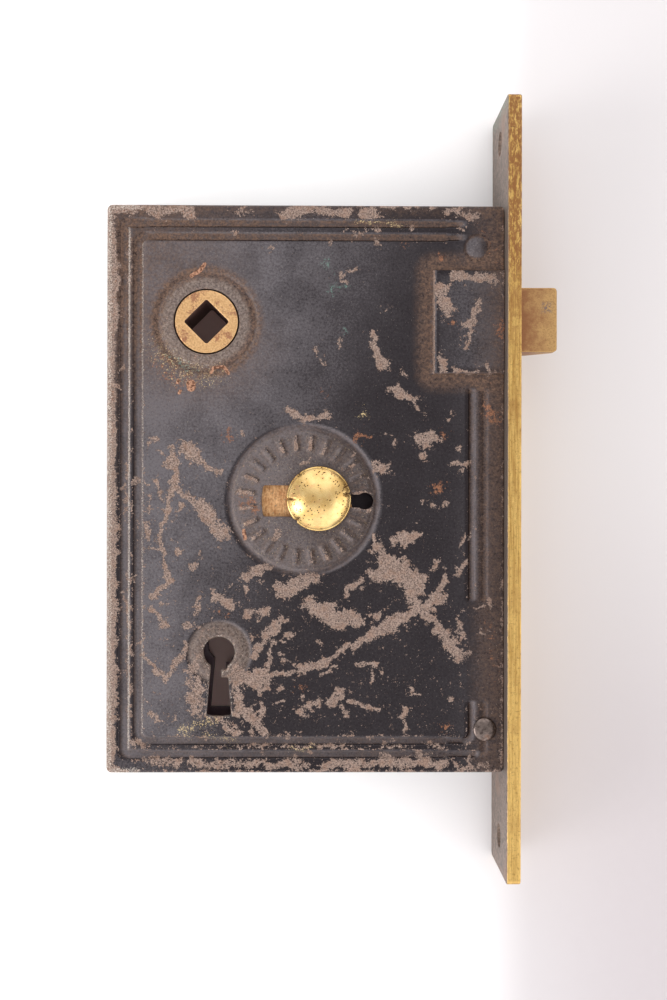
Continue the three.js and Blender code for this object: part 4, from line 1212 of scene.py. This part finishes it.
def floor_paper():
    """White paper with painted shade darkening it to the right, most at the lower right, a painted warm reflection
    under the lock, and a faint glow on the left.
    """
    g = Surface("floor_paper")
    fibres = g.noise(0.4, 3, 0.5)
    x, y = g.parts()[:2]
    # painted shade: darker to the right, most at the lower right
    shade = x.band(-70, 40) * y.band(20, -90).scaled(0.6, 1.0)
    colour = g.mix(shade, tint(250, 250, 250), tint(202, 195, 198))
    # painted warm reflection of the brass on the paper under the lock
    shaded = abs(x - (REAR + FRONT) / 2).band(42, 38) * abs(y).band(TOP - 1, TOP - 5)
    colour = g.mix(shaded, colour, tint(255, 216, 208))
    colour = g.mix(fibres * 0.1, colour, tint(224, 221, 222))
    glow = x.band(8, -10) * 0.25 * (1.0 - shaded)
    return g.finish(colour, 0.85, 0.0, g.bump(fibres, 0.02), Emission_Strength=glow)


def build_floor():
    """A pale floor that touches the faceplate's lower edge and the case's rear edge."""
    reach = 20000
    slope = (case_low[2] - front_low[2]) / (front_low[0] - REAR)
    corners = [(-reach, -reach), (reach, -reach), (reach, reach), (-reach, reach)]
    points = [(x, y, case_low[2] - slope * (x - REAR) - 0.05) for x, y in corners]
    mesh = bpy.data.meshes.new("floor")
    mesh.from_pydata((np.array(points) * MM).tolist(), [], [(0, 1, 2, 3)])
    mesh.materials.append(floor_paper())
    add_object("floor", mesh)


# The studio's brightness: (direction, cosine where it starts, cosine where it is full, power).
STUDIO = [
    ((0, 0, 1), -3, -2, 0.75),
    ((-0.86, -0.33, 0.4), 0.94, 0.99, 5.4),
    ((0.9, -0.3, 0.3), 0.8, 0.97, 1.2),
    ((0.1, 0.93, 0.36), 0.5, 0.95, 0.8),
    ((0, -0.93, 0.36), 0.5, 0.95, 0.8),
]


def build_light():
    """A white studio with bright walls all round, and a soft square lamp high on the left."""
    world = bpy.data.worlds.new("studio")
    bpy.context.scene.world = world
    g = Graph(world)
    here = g.make("TexCoord", {}, "Generated")
    strength = 0.0
    for direction, start, end, power in STUDIO:
        facing = g.dot(here, Vector(direction).normalized())
        strength = facing.band(start, end) * power + strength
    g.show("World", g.make("Background", {"Color": (1.0, 0.985, 0.985, 1), "Strength": strength}))
    lamp = bpy.data.lights.new("key", "AREA")
    lamp.shape = "RECTANGLE"
    lamp.size = lamp.size_y = 0.45
    lamp.energy = 0.4
    obj = add_object("key", lamp)
    obj.location = Vector((-600, -160, 430)) * MM
    aim = Vector((-48, 0, 0)) * MM - obj.location
    obj.rotation_euler = aim.to_track_quat("-Z", "Y").to_euler()


def build_camera():
    """The photograph's camera, which looks almost straight down."""
    data = bpy.data.cameras.new("camera")
    data.sensor_width = 36
    data.lens = 47.16
    data.clip_end = 20
    camera = add_object("camera", data)
    camera.location = Vector((-45.29, -2.79, 300.8)) * MM
    camera.rotation_euler = (math.radians(0.06), math.radians(-0.76), math.radians(0.11))
    bpy.context.scene.camera = camera


build_floor()
build_light()
build_camera()
bpy.context.scene.view_settings.view_transform = "Standard"
